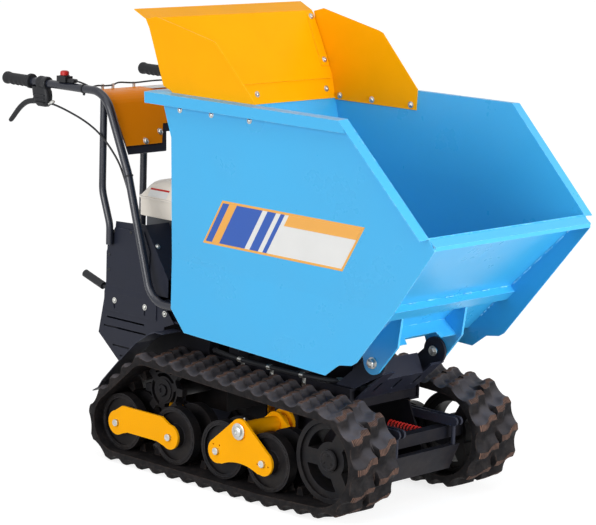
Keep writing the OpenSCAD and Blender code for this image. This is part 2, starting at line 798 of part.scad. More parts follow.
module grip() {
    ribs = [for (k = [0 : 5]) for (q = [[0, 0], [0.3, 1], [0.7, 1], [1, 0]])
        [grip_r - 2.5 + 2.5 * q[1], 24 + (k + q[0]) * (grip_len - 36) / 6]];
    translate([grip_x, handle_y, handle_z]) rotate([0, 90, 0]) difference() {
        rotate_extrude() polygon(concat([[0, 0], [grip_r - 6, 0], [grip_r, 6], [grip_r, 16], [grip_r - 2.5, 20]], ribs,
            [[grip_r, grip_len - 10], [grip_r + 4, grip_len - 8], [grip_r + 4, grip_len], [0, grip_len]]));
        translate([0, 0, 6 - gap]) cylinder(r = tube_r + gap, h = grip_len);
    }
}

module grip_right() {
    color(rubber_black) centred() mirror([0, 1, 0]) grip();
}

module grip_left() {
    color(rubber_black) centred() grip();
}

clamp_x = grip_x + grip_len + 13;
switch_x = clamp_x + 136;

module control_lever() {
    translate([clamp_x, handle_y, handle_z]) rotate([0, 90, 0]) difference() {
        cylinder(r = tube_r + 6, h = 30);
        translate([0, 0, -1]) cylinder(r = tube_r + gap, h = 32);
    }
    along_y(handle_y - 4, handle_y + 4) polygon([[clamp_x + 28, handle_z - 17], [clamp_x - 34, handle_z - 28],
        [clamp_x - 122, handle_z - 132], [clamp_x - 112, handle_z - 138], [clamp_x - 20, handle_z - 44], [clamp_x + 28, handle_z - 30]]);
}

module control_lever_right() {
    color(frame_black) centred() mirror([0, 1, 0]) control_lever();
}

module control_lever_left() {
    color(frame_black) centred() control_lever();
}

module stop_switch() {
    color(frame_black) centred() translate([switch_x, -handle_y, handle_z + tube_r]) {
        box([-20, -15, gap], [20, 15, 18]);
        translate([0, 0, 18]) cylinder(r = 11, h = 10);
    }
}

// Console between the handle tubes
module dash_panel() {
    color(dash_orange) centred() difference() {
        along_y(-dash_half, dash_half) polygon(sheet(dash_line, panel_t));
        along_x(-420, -300) polygon([[-145, 900], [-90, 1000], [90, 1000], [145, 900]]);
    }
}

console_t = 4;
back_shift = panel_t + gap;
dash_turn = acos(unit(dash_low - dash_bend)[0]);
dash_hub = dash_bend - dash_r * [tan(dash_turn / 2), 1];
post_top = dash_hub[1] + sqrt(pow(dash_r - back_shift - console_t, 2) - pow(post_x + post_r - dash_hub[0], 2)) - gap;

module console_frame() {
    color(frame_black) centred() difference() {
        along_y(-dash_half, dash_half) polygon(sheet(moved(concat([for (q = dash_line) q], [dash_low + [12, -22]]), back_shift),
            console_t));
        along_x(-440, -300) polygon([[-130, 880], [-84, 976], [84, 976], [130, 880]]);
    }
}

module console_posts() {
    color(frame_black) centred() {
        for (y = [-100, 100]) translate([post_x, y, 520]) cylinder(r = post_r, h = post_top - 520);
        both() in_side_plane(panel_y + post_r + gap)
            bent_bar([[post_x, post_top], [post_x, 800], [-428, 700], [-428, 640]], [120, 80], post_r);
    }
}

// Control cables from the levers to the engine, [x, y, z]
cable_r = 3.5;
cable_route = [[clamp_x + 40, handle_y, handle_z - 24 - cable_r], [-669, handle_y, 1050], [-594, handle_y, 1010], [-478, handle_y, 968],
               [-415, handle_y, 930], [-362, handle_y, 872], [-336, handle_y - 10, 790], [-320, 242, 735], [-325, 232, 680], [-330, 228, 560],
               [-330, 228, engine_z + gap]];
cable_steps = 6;
function blend(a, b, c, d, t) = 0.5 * (2 * b + (c - a) * t + (2 * a - 5 * b + 4 * c - d) * t * t
    + (3 * b - a - 3 * c + d) * t * t * t);
cable_line = let(n = len(cable_route) - 1) concat([for (i = [0 : n - 1]) for (k = [0 : cable_steps - 1])
    blend(cable_route[max(i - 1, 0)], cable_route[i], cable_route[i + 1], cable_route[min(i + 2, n)], k / cable_steps)],
    [cable_route[n]]);

module cable() {
    n = len(cable_line) - 1;
    sides = 8;
    rings = [for (i = [0 : n]) let(t = unit(cable_line[min(i + 1, n)] - cable_line[max(i - 1, 0)]),
        u = unit(cross(t, [0, 1, 0])), v = cross(u, t)) for (k = [0 : sides - 1])
        cable_line[i] + cable_r * (cos(360 * k / sides) * u + sin(360 * k / sides) * v)];
    walls = [for (i = [0 : n - 1]) for (k = [0 : sides - 1]) let(m = (k + 1) % sides)
        [i * sides + k, i * sides + m, (i + 1) * sides + m, (i + 1) * sides + k]];
    polyhedron(rings, concat(walls, [[for (k = [sides - 1 : -1 : 0]) k]], [[for (k = [0 : sides - 1]) n * sides + k]]));
}

module cable_right() {
    color(rubber_black) centred() mirror([0, 1, 0]) cable();
}

module cable_left() {
    color(rubber_black) centred() cable();
}

module hand_lever() {
    color(frame_black) centred() translate([rear_x, -panel_y + 20, 490]) rotate([0, -73, 0]) {
        translate([0, 0, 2.2]) cylinder(r = 6, h = 40);
        translate([0, 0, 34]) cylinder(r = 12, h = 90);
    }
}

// Skip
module crease_frame() {
    translate([crease_rear[0], skip_toe - skip_half, crease_rear[1]]) rotate([0, 0, -toe]) rotate([0, -crease_dir, 0]) children();
}

module upper_frame() {
    crease_frame() rotate([flare, 0, 0]) children();
}

// Everything outside the inner faces of the side walls
module outside_walls(inset) {
    both() {
        upper_frame() box([-500, -300, -1], [1300, skip_t + inset, 900]);
        crease_frame() box([-500, -300, -500], [1300, skip_t + inset, 0]);
    }
}

side_outline = [crease_rear, rear_low, low_rear, low_edge, low_step, low_flat, low_front, crease_front,
                lip_low, lip_edge, front_top, rear_top, rear_knee];
rim_end = rear_top - [rim_w, 0];
rim_seat = 0.4;

// One sheet folded along the crease and trimmed to the outline, with the rim welded to its top edge
module skip_side() {
    intersection() {
        crease_frame() translate([-500, 0, 0]) rotate([90, 0, 90]) linear_extrude(1800)
            polygon(sheet([[0, -400], [0, 0], 800 * [-sin(flare), cos(flare)]], skip_t));
        along_y(-600, 0) polygon(side_outline);
    }
    upper_frame() translate([0, 0, -rim_seat]) {
        along_y(-rim_w, skip_t / 2) polygon(sheet([in_upper(lip_edge), in_upper(front_top), in_upper(rim_end)], -skip_t));
        translate([0, 0, -rim_seat]) along_y(-rim_w, -rim_w + skip_t) polygon([in_upper(front_top), in_upper(rim_end),
            in_upper(rim_end - [0, rim_drop]), in_upper(front_top + [rim_drop * 0.8, -rim_drop])]);
    }
}

module skip_side_right() {
    color(skip_blue) centred() skip_side();
}

module skip_side_left() {
    color(skip_blue) centred() mirror([0, 1, 0]) skip_side();
}

// The floor and the ramp are one sheet folded at the floor's front end
ramp = sheet([lip_edge, floor_front, floor_rear + [skip_t, 0]], skip_t);
ramp_dir = unit(lip_edge - floor_front);
function on_ramp(d, off) = floor_front + d * ramp_dir + off * right_of(ramp_dir);

module skip_floor() {
    color(skip_blue) centred() difference() {
        along_y(-400, 400) polygon([ramp[1], ramp[2], ramp[3], ramp[4]]);
        outside_walls(0);
    }
}

module skip_rear_wall() {
    shift = [wall_inset, 0];
    color(skip_blue) centred() difference() {
        along_y(-400, 400) polygon(sheet([floor_rear, rear_low + shift, crease_rear + shift, rear_knee + shift,
            rear_top + shift - [0, skip_t], rim_end + [skip_t, -skip_t], rim_end + [skip_t, -rim_drop]], skip_t));
        outside_walls(0);
    }
}

channel_low = 172;
channel_w = 40;
channel_d = 22;
channel_t = 4;

module skip_front_plate() {
    color(skip_blue) centred() difference() {
        union() {
            along_y(-400, 400) polygon([ramp[0], ramp[1], ramp[4], ramp[5]]);
            along_y(-400, 400) polygon(sheet([lip_edge - 2 * ramp_dir, lip_nose, lip_low], skip_t));
            along_y(-400, 400) polygon(sheet([on_ramp(channel_low + channel_w, -1), on_ramp(channel_low + channel_w, channel_d),
                on_ramp(channel_low, channel_d), on_ramp(channel_low, -1)], channel_t));
        }
        outside_walls(0);
    }
}

// Brackets of the tipping pivot with their bolts, the chin plate between them and the lugs of the rod's eye
bracket_r = 34;
chin_top = on_ramp(84, gap);
chin_low = chin_top + [44, -38];
chin_notch = 15;

module skip_brackets() {
    color(skip_blue) centred() {
        both() along_y(bracket_y - bracket_t, bracket_y) {
            translate([pivot_x, pivot_z]) circle(bracket_r);
            polygon([[pivot_x - 48, floor_z - gap], floor_front - [0, gap], on_ramp(channel_low - 2, gap),
                on_ramp(channel_low - 2, channel_d), [634, 487], [pivot_x + 28, pivot_z - 19], [pivot_x - bracket_r, pivot_z]]);
        }
        both() rod_y([pivot_x, pivot_z], pivot_r, ear_in - 6, bracket_y + 12);
        both() along_y(eye_w / 2 + 3, eye_w / 2 + 11) {
            translate(ram_eye) circle(22);
            translate([ram_eye[0] - 22, ram_eye[1]]) square([44, floor_z - gap - ram_eye[1]]);
        }
        difference() {
            along_y(bracket_t - bracket_y, bracket_y - bracket_t) polygon(sheet([chin_top, chin_low], 4));
            translate([chin_low[0], 0, chin_low[1]]) rotate([0, heading(chin_top - chin_low) - 180, 0])
                translate([0, 0, -20]) linear_extrude(40)
                polygon([[1, -84], [1, 84], [-chin_notch, 50], [-chin_notch, -50]]);
        }
    }
}

// Extension

module wing() {
    upper_frame() along_y(skip_t + gap, skip_t + gap + ext_t) polygon([for (p = wing_outline) in_upper(p)]);
}

module extension_wing_right() {
    color(sun_yellow) centred() wing();
}

module extension_wing_left() {
    color(sun_yellow) centred() mirror([0, 1, 0]) wing();
}

module extension_rear() {
    color(sun_yellow) centred() difference() {
        along_y(-400, 400) polygon(sheet([ext_low, ext_bend, ext_fold, ext_edge], ext_t));
        outside_walls(ext_t + 2 * gap);
    }
}

// Tipping cylinder, drawn along its axis from the foot pin
module along_ram() {
    translate([ram_x, 0, ram_z]) rotate([0, 90 - ram_angle, 0]) children();
}

barrel_len = ram_len - 46;

module cylinder_barrel() {
    color(frame_black) centred() along_ram() difference() {
        union() {
            rotate([90, 0, 0]) cylinder(r = eye_r, h = eye_w, center = true);
            translate([0, 0, 10]) cylinder(r = eye_w / 2, h = 20);
            translate([0, 0, 27]) cylinder(r = barrel_r, h = barrel_len - 27);
        }
        rotate([90, 0, 0]) cylinder(r = 10.05, h = eye_w + 60, center = true);
        translate([0, 0, 40]) cylinder(r = rod_r + 0.05, h = barrel_len);
    }
}

module cylinder_rod() {
    color(zinc) centred() along_ram() {
        translate([0, 0, 44]) cylinder(r = rod_r, h = ram_len - 58);
        translate([0, 0, ram_len]) rotate([90, 0, 0]) difference() {
            cylinder(r = eye_r, h = eye_w, center = true);
            cylinder(r = 10, h = eye_w + 2, center = true);
        }
    }
}

track_right();
track_left();
rollers_right();
rollers_left();
idler_right();
idler_left();
sprocket_right();
sprocket_left();
bogies_right();
bogies_left();
front_beam();
tension_springs();
guard_bars();
guard_pillars();
chassis_frame();
rest_pads();
belly_pan();
pivot_stand();
transmission();
engine_deck();
engine_block();
fuel_tank();
muffler();
side_panel_right();
side_panel_left();
rear_panel();
guard_right();
guard_left();
handle_tube_right();
handle_tube_left();
grip_right();
grip_left();
control_lever_right();
control_lever_left();
stop_switch();
dash_panel();
console_frame();
console_posts();
hand_lever();
skip_side_right();
skip_side_left();
skip_floor();
skip_rear_wall();
skip_front_plate();
skip_brackets();
extension_rear();
extension_wing_right();
extension_wing_left();
cylinder_barrel();
cylinder_rod();
cable_right();
cable_left();
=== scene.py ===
import json
import math

import bmesh
import bpy
from mathutils import Matrix, Vector, noise


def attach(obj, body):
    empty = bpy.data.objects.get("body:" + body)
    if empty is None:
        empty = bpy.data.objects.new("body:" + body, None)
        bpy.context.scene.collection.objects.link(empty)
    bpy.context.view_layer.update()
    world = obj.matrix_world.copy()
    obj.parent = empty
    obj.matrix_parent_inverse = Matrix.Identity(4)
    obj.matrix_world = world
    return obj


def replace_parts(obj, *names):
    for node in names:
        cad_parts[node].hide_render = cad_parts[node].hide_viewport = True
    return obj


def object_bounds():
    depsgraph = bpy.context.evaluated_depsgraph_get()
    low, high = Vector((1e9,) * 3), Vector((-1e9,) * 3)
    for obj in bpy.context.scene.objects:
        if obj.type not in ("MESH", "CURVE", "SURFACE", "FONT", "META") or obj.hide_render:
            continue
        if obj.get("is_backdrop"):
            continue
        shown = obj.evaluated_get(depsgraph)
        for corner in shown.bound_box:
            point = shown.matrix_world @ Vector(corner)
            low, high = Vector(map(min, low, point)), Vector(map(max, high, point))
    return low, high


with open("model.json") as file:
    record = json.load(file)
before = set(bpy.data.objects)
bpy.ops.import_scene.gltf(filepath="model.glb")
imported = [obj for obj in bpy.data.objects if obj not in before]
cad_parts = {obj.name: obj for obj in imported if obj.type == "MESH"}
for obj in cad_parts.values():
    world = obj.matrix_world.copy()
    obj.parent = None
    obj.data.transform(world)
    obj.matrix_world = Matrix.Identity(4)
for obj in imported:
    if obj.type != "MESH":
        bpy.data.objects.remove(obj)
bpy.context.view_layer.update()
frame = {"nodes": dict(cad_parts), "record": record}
scene = bpy.context.scene
nodes = frame["nodes"]

# Shapes are drawn in millimetres, materials and lights in metres
MM = 0.001
# The drawing's zero lies this far behind the middle of the machine's length
MIDDLE = 9.5
BOTH = (-1, 1)
SIDES = {"right": -1, "left": 1}
AHEAD = Vector((1, 0, 0))
ACROSS = Vector((0, 1, 0))
UP = Vector((0, 0, 1))


def at(x, y, z):
    """A point of the drawing as a place in the frame."""
    return Vector((x - MIDDLE, y, z)) * MM


def path(points):
    """Points of the drawing as places in the frame."""
    return [at(*p) for p in points]


def angles(count):
    """Angles of a full turn in equal steps."""
    return [2 * math.pi * k / count for k in range(count)]


# Colours and materials

def srgb(r, g, b):
    """A screen colour, 0 to 255, as linear values."""
    def linear(v):
        v /= 255
        return v / 12.92 if v <= 0.04045 else ((v + 0.055) / 1.055) ** 2.4
    return (linear(r), linear(g), linear(b), 1.0)


def shade(colour, factor):
    return tuple(min(1.0, c * factor) for c in colour[:3]) + (1.0,)


class Tree:
    """The nodes of a material or a world, with short calls to add and join them."""

    def __init__(self, owner, shader):
        owner.use_nodes = True
        self.owner = owner
        self.tree = owner.node_tree
        self.shader = self.tree.nodes[shader]

    def put(self, value, socket):
        """Joins another node's output to a socket, or sets the socket to a plain value."""
        if isinstance(value, bpy.types.NodeSocket):
            self.tree.links.new(value, socket)
        else:
            socket.default_value = value

    def give(self, values):
        """Feeds the shader's own sockets."""
        for key, value in values.items():
            self.put(value, self.shader.inputs[key])

    def add(self, kind, inputs=None, **settings):
        """A new node: settings are its choices, inputs are what its sockets get."""
        node = self.tree.nodes.new("ShaderNode" + kind)
        for key, value in settings.items():
            setattr(node, key, value)
        for key, value in (inputs or {}).items():
            self.put(value, node.inputs[key])
        return node

    def place(self):
        return self.add("TexCoord").outputs["Object"]

    def normal(self):
        return self.add("NewGeometry").outputs["Normal"]

    def height(self, vector):
        """The upright part of a place or a direction."""
        return self.add("SeparateXYZ", {"Vector": vector}).outputs["Z"]

    def cloud(self, scale, detail=4.0, rough=0.55):
        inputs = {"Vector": self.place(), "Scale": scale, "Detail": detail, "Roughness": rough}
        return self.add("TexNoise", inputs).outputs["Fac"]

    def span(self, value, a, b, low=0.0, high=1.0):
        """Stretches the values from a to b over low to high."""
        inputs = {"Value": value, "From Min": a, "From Max": b, "To Min": low, "To Max": high}
        return self.add("MapRange", inputs).outputs["Result"]

    def times(self, a, b):
        return self.add("Math", {0: a, 1: b}, operation="MULTIPLY").outputs["Value"]

    def greater(self, a, b):
        return self.add("Math", {0: a, 1: b}, operation="MAXIMUM").outputs["Value"]

    def mix(self, factor, a, b):
        return self.add("Mix", {0: factor, 6: a, 7: b}, data_type="RGBA").outputs[2]

    def edges(self, width):
        """1 along convex and concave edges, 0 on open faces."""
        bevel = self.add("Bevel", {"Radius": width}, samples=4)
        inputs = {0: bevel.outputs["Normal"], 1: self.normal()}
        dot = self.add("VectorMath", inputs, operation="DOT_PRODUCT")
        return self.span(dot.outputs["Value"], 0.995, 0.90)

    def bump(self, height, strength, distance):
        inputs = {"Height": height, "Strength": strength, "Distance": distance}
        self.give({"Normal": self.add("Bump", inputs).outputs["Normal"]})


def material_tree(name):
    return Tree(bpy.data.materials.new(name), "Principled BSDF")


WHITE = (1, 1, 1, 1)
DUST = srgb(128, 112, 98)
DUST_TOP = 0.55
CHIP_WIDTH = 0.0022
GRAIN_DEPTH = 0.0004


def finish(name, colour, rough, metal=0.0, spread=0.06, patch=6.0, grain=900.0, bump=0.1,
           wear=None, dust=0.0, specular=0.5):
    """A finish with cloudy colour, uneven gloss, fine grain, worn edges and dust that gathers low down."""
    t = material_tree(name)
    clouds = t.span(t.cloud(patch, 5.0), 0.3, 0.7)
    tone = t.mix(clouds, shade(colour, 1 - spread), shade(colour, 1 + spread))
    if wear:
        chips = t.times(t.edges(CHIP_WIDTH), t.span(t.cloud(70.0, 6.0), 0.42, 0.62))
        tone = t.mix(chips, tone, wear)
    if dust:
        settled = t.span(t.height(t.place()), DUST_TOP, 0.0)
        film = t.times(settled, t.span(t.cloud(14.0, 6.0, 0.7), 0.35, 0.75, 0.0, dust))
        tone = t.mix(film, tone, DUST)
    smoothest = max(0.03, rough - 0.06)
    roughest = min(1.0, rough + 0.08)
    gloss = t.span(t.cloud(patch * 4, 4.0, 0.6), 0.25, 0.75, smoothest, roughest)
    t.give({"Base Color": tone, "Roughness": gloss, "Metallic": metal, "Specular IOR Level": specular})
    t.bump(t.cloud(grain, 3.0, 0.6), bump, GRAIN_DEPTH)
    return t.owner


def tread(name):
    """Moulded rubber with earth rubbed into the lugs, and dust with painted top light on the belt's upper
    run.
    """
    t = material_tree(name)
    tone = t.mix(t.span(t.cloud(40.0, 6.0), 0.35, 0.65), srgb(10, 9, 11), srgb(18, 16, 18))
    grit = t.span(t.cloud(160.0, 4.0), 0.3, 0.6, 0.2, 0.9)
    soil = t.times(t.span(t.cloud(22.0, 8.0, 0.7), 0.46, 0.66), grit)
    tone = t.mix(soil, tone, srgb(40, 35, 34))
    # Faces of the upper run that point up are lightened to grey: settled dust, together with painted top
    # light.
    top_light_and_dust = t.span(t.height(t.normal()), 0.3, 1.0, 0.0, 0.6)
    settled = t.times(top_light_and_dust, t.span(t.height(t.place()), 0.10, 0.25))
    tone = t.mix(settled, tone, srgb(104, 100, 104))
    rubbed = t.times(t.edges(0.006), t.span(t.cloud(55.0, 5.0), 0.4, 0.6, 0.0, 0.3))
    tone = t.mix(rubbed, tone, srgb(92, 76, 68))
    gloss = t.span(t.cloud(60.0), 0.3, 0.7, 0.55, 0.8)
    t.give({"Base Color": tone, "Roughness": gloss, "Specular IOR Level": 0.14})
    t.bump(t.cloud(260.0, 6.0, 0.65), 0.35, 0.0012)
    return t.owner


def ridge_tops(name):
    """Tops of the lugs: fine moulded lines, worn brown in patches."""
    t = material_tree(name)
    inputs = {"Vector": t.place(), "Scale": 55.0, "Distortion": 1.5}
    lines = t.add("TexWave", inputs, bands_direction="Y").outputs["Fac"]
    patches = t.span(t.cloud(45.0, 5.0), 0.3, 0.6, 0.35, 1.0)
    worn = t.times(t.span(lines, 0.2, 0.8, 0.15, 1.0), patches)
    tone = t.mix(worn, srgb(26, 23, 24), srgb(112, 86, 74))
    t.give({"Base Color": tone, "Roughness": 0.75, "Specular IOR Level": 0.12})
    t.bump(lines, 0.4, 0.0008)
    return t.owner


paint = {
    "rubber": tread("tread_rubber"),
    "cast": finish("cast_black", srgb(15, 16, 20), 0.5, grain=420.0, bump=0.3,
                   wear=srgb(58, 58, 64), dust=0.1, specular=0.14),
    "yellow": finish("signal_yellow", srgb(252, 172, 2), 0.36, spread=0.03,
                     wear=srgb(255, 196, 50), specular=0.1),
    "black_paint": finish("frame_black", srgb(33, 36, 48), 0.44, spread=0.09,
                          wear=srgb(76, 80, 92), dust=0.08, specular=0.17),
    "red_paint": finish("spring_red", srgb(190, 22, 16), 0.35,
                        wear=srgb(110, 50, 42), dust=0.2, specular=0.4),
    "alloy": finish("cast_alloy", srgb(80, 82, 86), 0.45, metal=0.6, grain=380.0, bump=0.35,
                    wear=srgb(150, 150, 152)),
    "cream": finish("tank_cream", srgb(236, 228, 216), 0.3, spread=0.03,
                    wear=srgb(240, 234, 226), specular=0.4),
    "steel": finish("bare_steel", srgb(150, 148, 144), 0.38, metal=1.0, spread=0.12, patch=18.0,
                    wear=srgb(205, 203, 200)),
    "grip": finish("grip_rubber", srgb(22, 23, 27), 0.6, grain=700.0, bump=0.35,
                   wear=srgb(46, 46, 50), specular=0.3),
    "plastic": finish("moulded_black", srgb(24, 25, 29), 0.48, grain=1100.0, bump=0.2,
                      wear=srgb(56, 58, 62), specular=0.3),
    "orange": finish("console_orange", srgb(252, 146, 6), 0.36, spread=0.04,
                     wear=srgb(240, 166, 60), specular=0.12),
    "blue": finish("skip_blue", srgb(62, 176, 232), 0.3, spread=0.02, patch=2.0,
                   wear=srgb(140, 212, 246)),
    "rod_chrome": finish("hard_chrome", srgb(205, 206, 210), 0.12, metal=1.0, spread=0.03,
                         wear=srgb(225, 225, 228)),
}
zinc = finish("zinc_plate", srgb(190, 190, 186), 0.34, metal=1.0, spread=0.14, patch=60.0,
              wear=srgb(226, 224, 218))
pale = finish("clip_white", srgb(226, 226, 224), 0.45, spread=0.03, specular=0.3)
sticker_orange = finish("sticker_orange", srgb(236, 172, 84), 0.35, spread=0.02, specular=0.3)
sticker_blue = finish("sticker_blue", srgb(52, 92, 176), 0.35, spread=0.03, specular=0.3)
worn_rubber = ridge_tops("tread_tops")
seam_blue = finish("weld_blue", srgb(88, 184, 236), 0.42, spread=0.10, patch=90.0, grain=500.0, bump=0.4,
                   wear=srgb(160, 220, 248))
# The frame's black made darker for the parts under the machine and inside the rear guards: painted shade,
# with some dust.
painted_shade_black = finish("frame_black_painted_shade", srgb(17, 18, 25), 0.5, spread=0.12,
                   wear=srgb(52, 54, 62), dust=0.08, specular=0.1)
tube_black = finish("tube_black", srgb(32, 35, 46), 0.26, wear=srgb(84, 88, 98))

# Solids whose finish differs from the one of their slot: the lower frame gets the darker painted-shade
# black, the handle tubes a glossier black
special = dict.fromkeys(("belly_pan", "front_beam", "chassis_frame"), painted_shade_black)
special.update(dict.fromkeys(("handle_tube_right", "handle_tube_left", "console_posts"), tube_black))

for part in frame["record"]["subparts"]:
    mesh = nodes[part["node"]].data
    mesh.materials.clear()
    mesh.materials.append(special.get(part["node"], paint[part["material_slot"]]))


# Shapes

def piece(name, bm, material, body, crease=32):
    """Makes a piece from a mesh, smooth except at edges past the crease angle, and fixes it to a body."""
    bmesh.ops.recalc_face_normals(bm, faces=bm.faces)
    mesh = bpy.data.meshes.new(name)
    bm.to_mesh(mesh)
    bm.free()
    mesh.shade_smooth()
    mesh.set_sharp_from_angle(angle=math.radians(crease))
    mesh.materials.append(material)
    obj = bpy.data.objects.new(name, mesh)
    scene.collection.objects.link(obj)
    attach(obj, body)
    return obj


def spin(bm, profile, place, axis, steps=28, turn=0.0):
    """Revolves (radius, height) points about an axis through place; a radius of 0 closes an end."""
    facing = UP.rotation_difference(Vector(axis)).to_matrix().to_4x4()
    matrix = Matrix.Translation(place) @ facing @ Matrix.Rotation(turn, 4, "Z") @ Matrix.Scale(MM, 4)
    rings = []
    for radius, height in profile:
        if radius == 0:
            points = [Vector((0, 0, height))]
        else:
            points = [Vector((radius * math.cos(a), radius * math.sin(a), height)) for a in angles(steps)]
        rings.append([bm.verts.new(matrix @ p) for p in points])
    for low, high in zip(rings, rings[1:]):
        for k in range(steps):
            m = (k + 1) % steps
            if len(low) == 1:
                bm.faces.new((low[0], high[m], high[k]))
            elif len(high) == 1:
                bm.faces.new((low[k], low[m], high[0]))
            else:
                bm.faces.new((low[k], low[m], high[m], high[k]))


# Bolts, drawn for a head radius of 1: a low round head with a socket, a hexagon head with turned corners
DOME = ((0, 0), (1.5, 0), (1.5, 0.14), (1.42, 0.22), (1.05, 0.22), (1.04, 0.4), (0.9, 0.66), (0.62, 0.84),
        (0.42, 0.9), (0.4, 0.55), (0, 0.55))
HEX_WASHER_T = 0.22
HEX_WASHER = ((0, 0), (1.35, 0), (1.35, 0.16), (1.28, HEX_WASHER_T), (0, HEX_WASHER_T))
HEX_HEAD = ((0, 0), (1, 0), (1, 0.5), (0.84, 0.62), (0.5, 0.62), (0.46, 0.56), (0, 0.56))
HEX_TURN = 0.3


def scaled(profile, size):
    return [(size * radius, size * height) for radius, height in profile]


def hex_bolt(bm, place, axis, r, turn=HEX_TURN):
    spin(bm, scaled(HEX_WASHER, r), place, axis)
    lift = Vector(axis).normalized() * HEX_WASHER_T * r * MM
    spin(bm, scaled(HEX_HEAD, r), place + lift, axis, 6, turn)


def dome_bolts(name, rows, body):
    """One piece for a set of bolts with round heads: rows of place, axis and head radius."""
    bm = bmesh.new()
    for place, axis, r in rows:
        spin(bm, scaled(DOME, r), place, axis)
    piece(name, bm, zinc, body)


def loft(bm, rings):
    """A closed skin over rings of points with the same count."""
    loops = [[bm.verts.new(p) for p in ring] for ring in rings]
    for low, high in zip(loops, loops[1:]):
        for k in range(len(low)):
            m = (k + 1) % len(low)
            bm.faces.new((low[k], low[m], high[m], high[k]))
    bm.faces.new(loops[0])
    bm.faces.new(loops[-1])


def direction(points, i):
    """Direction of a line at its point i."""
    return (points[min(i + 1, len(points) - 1)] - points[max(i - 1, 0)]).normalized()


def tube(bm, points, radius, sides=8, swell=None):
    """A closed round tube along points; swell gives the radius factor at each point."""
    rings = []
    last = None
    for i, p in enumerate(points):
        ahead = direction(points, i)
        side = ahead.cross(UP if abs(ahead.z) < 0.9 else ACROSS).normalized()
        if last and side.dot(last) < 0:
            side = -side
        last = side
        other = ahead.cross(side)
        r = radius * MM * (swell[i] if swell else 1.0)
        rings.append([p + r * (math.cos(a) * side + math.sin(a) * other) for a in angles(sides)])
    loft(bm, rings)


WELD_R = 2.6
RIPPLE = 2


def weld(bm, start, end, radius=WELD_R):
    """A rippled weld bead between two points."""
    count = max(6, int((end - start).length / (RIPPLE * MM)))
    points = [start.lerp(end, k / count) for k in range(count + 1)]
    swell = [0.75 + 0.25 * (-1) ** k + 0.18 * noise.noise(p * 90) for k, p in enumerate(points)]
    swell[0] = swell[-1] = 0.35
    tube(bm, points, radius, swell=swell)


def block(bm, corner, opposite, r, steps=3):
    """A box with rounded edges between two opposite corners."""
    low = at(*map(min, corner, opposite))
    size = at(*map(max, corner, opposite)) - low
    made = bmesh.ops.create_cube(bm, size=1.0)
    for v in made["verts"]:
        v.co = low + Vector((c + 0.5) * s for c, s in zip(v.co, size))
    edges = {e for v in made["verts"] for e in v.link_edges}
    bmesh.ops.bevel(bm, geom=list(edges), offset=r * MM, segments=steps, affect="EDGES", profile=0.5)


def smooth_line(points, steps=8):
    """Points along a curve through the given ones."""
    out = []
    last = len(points) - 1
    for i in range(last):
        a, b, c, d = points[max(i - 1, 0)], points[i], points[i + 1], points[min(i + 2, last)]
        square = 2 * a - 5 * b + 4 * c - d
        cube = 3 * b - a - 3 * c + d
        for k in range(steps):
            t = k / steps
            out.append(0.5 * (2 * b + (c - a) * t + square * t * t + cube * t ** 3))
    return out + [points[-1]]


def plate(bm, outline, depth):
    """A flat plate: an outline of points and its thickness as a vector."""
    loft(bm, [outline, [p + depth * MM for p in outline]])


def squared(v, power):
    """A sine or cosine pushed outwards, which turns a round section into a rounded square."""
    return math.copysign(abs(v) ** power, v)


# Side walls of the skip, which splay towards the front and lean out above a crease

WALL_X = -107
WALL_LENGTH = 875
WALL_HALF = 309
WALL_SPLAY = 11
WALL_LEAN = 32 / 487
CREASE_Z = 651
CREASE_FALL = 27


def wall(x, z):
    """Distance of a wall's outer face from the middle plane at a point of the side view."""
    along = (x - WALL_X) / WALL_LENGTH
    crease = CREASE_Z - CREASE_FALL * along
    return WALL_HALF + WALL_SPLAY * along + max(0.0, z - crease) * WALL_LEAN


# Belts: two staggered rows of lugs whose tops run in a zigzag, and guide teeth inside

ROLLER_X = (-301, -72, 130, 317)
ROLLER_Z = 122
IDLER = (535, 170)
SPROCKET = (-168, 237)
# Wheels in the order in which the belt runs round them: x, z and radius
WHEELS = ((ROLLER_X[0], ROLLER_Z, 86), (ROLLER_X[-1], ROLLER_Z, 86), (*IDLER, 122), (*SPROCKET, 84))
# The belt, its lugs and the groove between their rows
BELT_Y = 262
BELT_HALF = 90
BELT_T = 14
BELT_STEP = 2.4
BELT_INNER = 0.8
PITCH_WISH = 65  # before a whole number of lugs is fitted to the length
LUG_H = 22
RIDGE = 7.5  # half the width of a lug's top
ROW_Y = 45
ZIGZAG = 9  # step of a lug's top along the belt
HOLLOW = 0.9  # depth between lugs, as a share of their height
HOLLOW_POWER = 0.85
TAPER_Y = 76  # where the lugs start to fall towards the edge
TAPER_DROP = 0.5
GROOVE_Y = 6
GROOVE_SLOPE = 4
GROOVE_DROP = 0.75
# Stations across the belt
HALF_WIDTHS = (2, 4, 7, 11, 16, 22, 28, 34, 39, 42, 45, 48, 51, 56, 62, 68, 74, 79, 84, 88, 90)
BELT_WIDTHS = (*(-y for y in reversed(HALF_WIDTHS)), 0, *HALF_WIDTHS)
# Guide tooth: steps along the belt and off its inner line, and its width
TOOTH = ((-13, 0.9), (13, 0.9), (8, -20), (6, -22), (-6, -22), (-8, -20))
TOOTH_Y = (-17, -15, 15, 17)


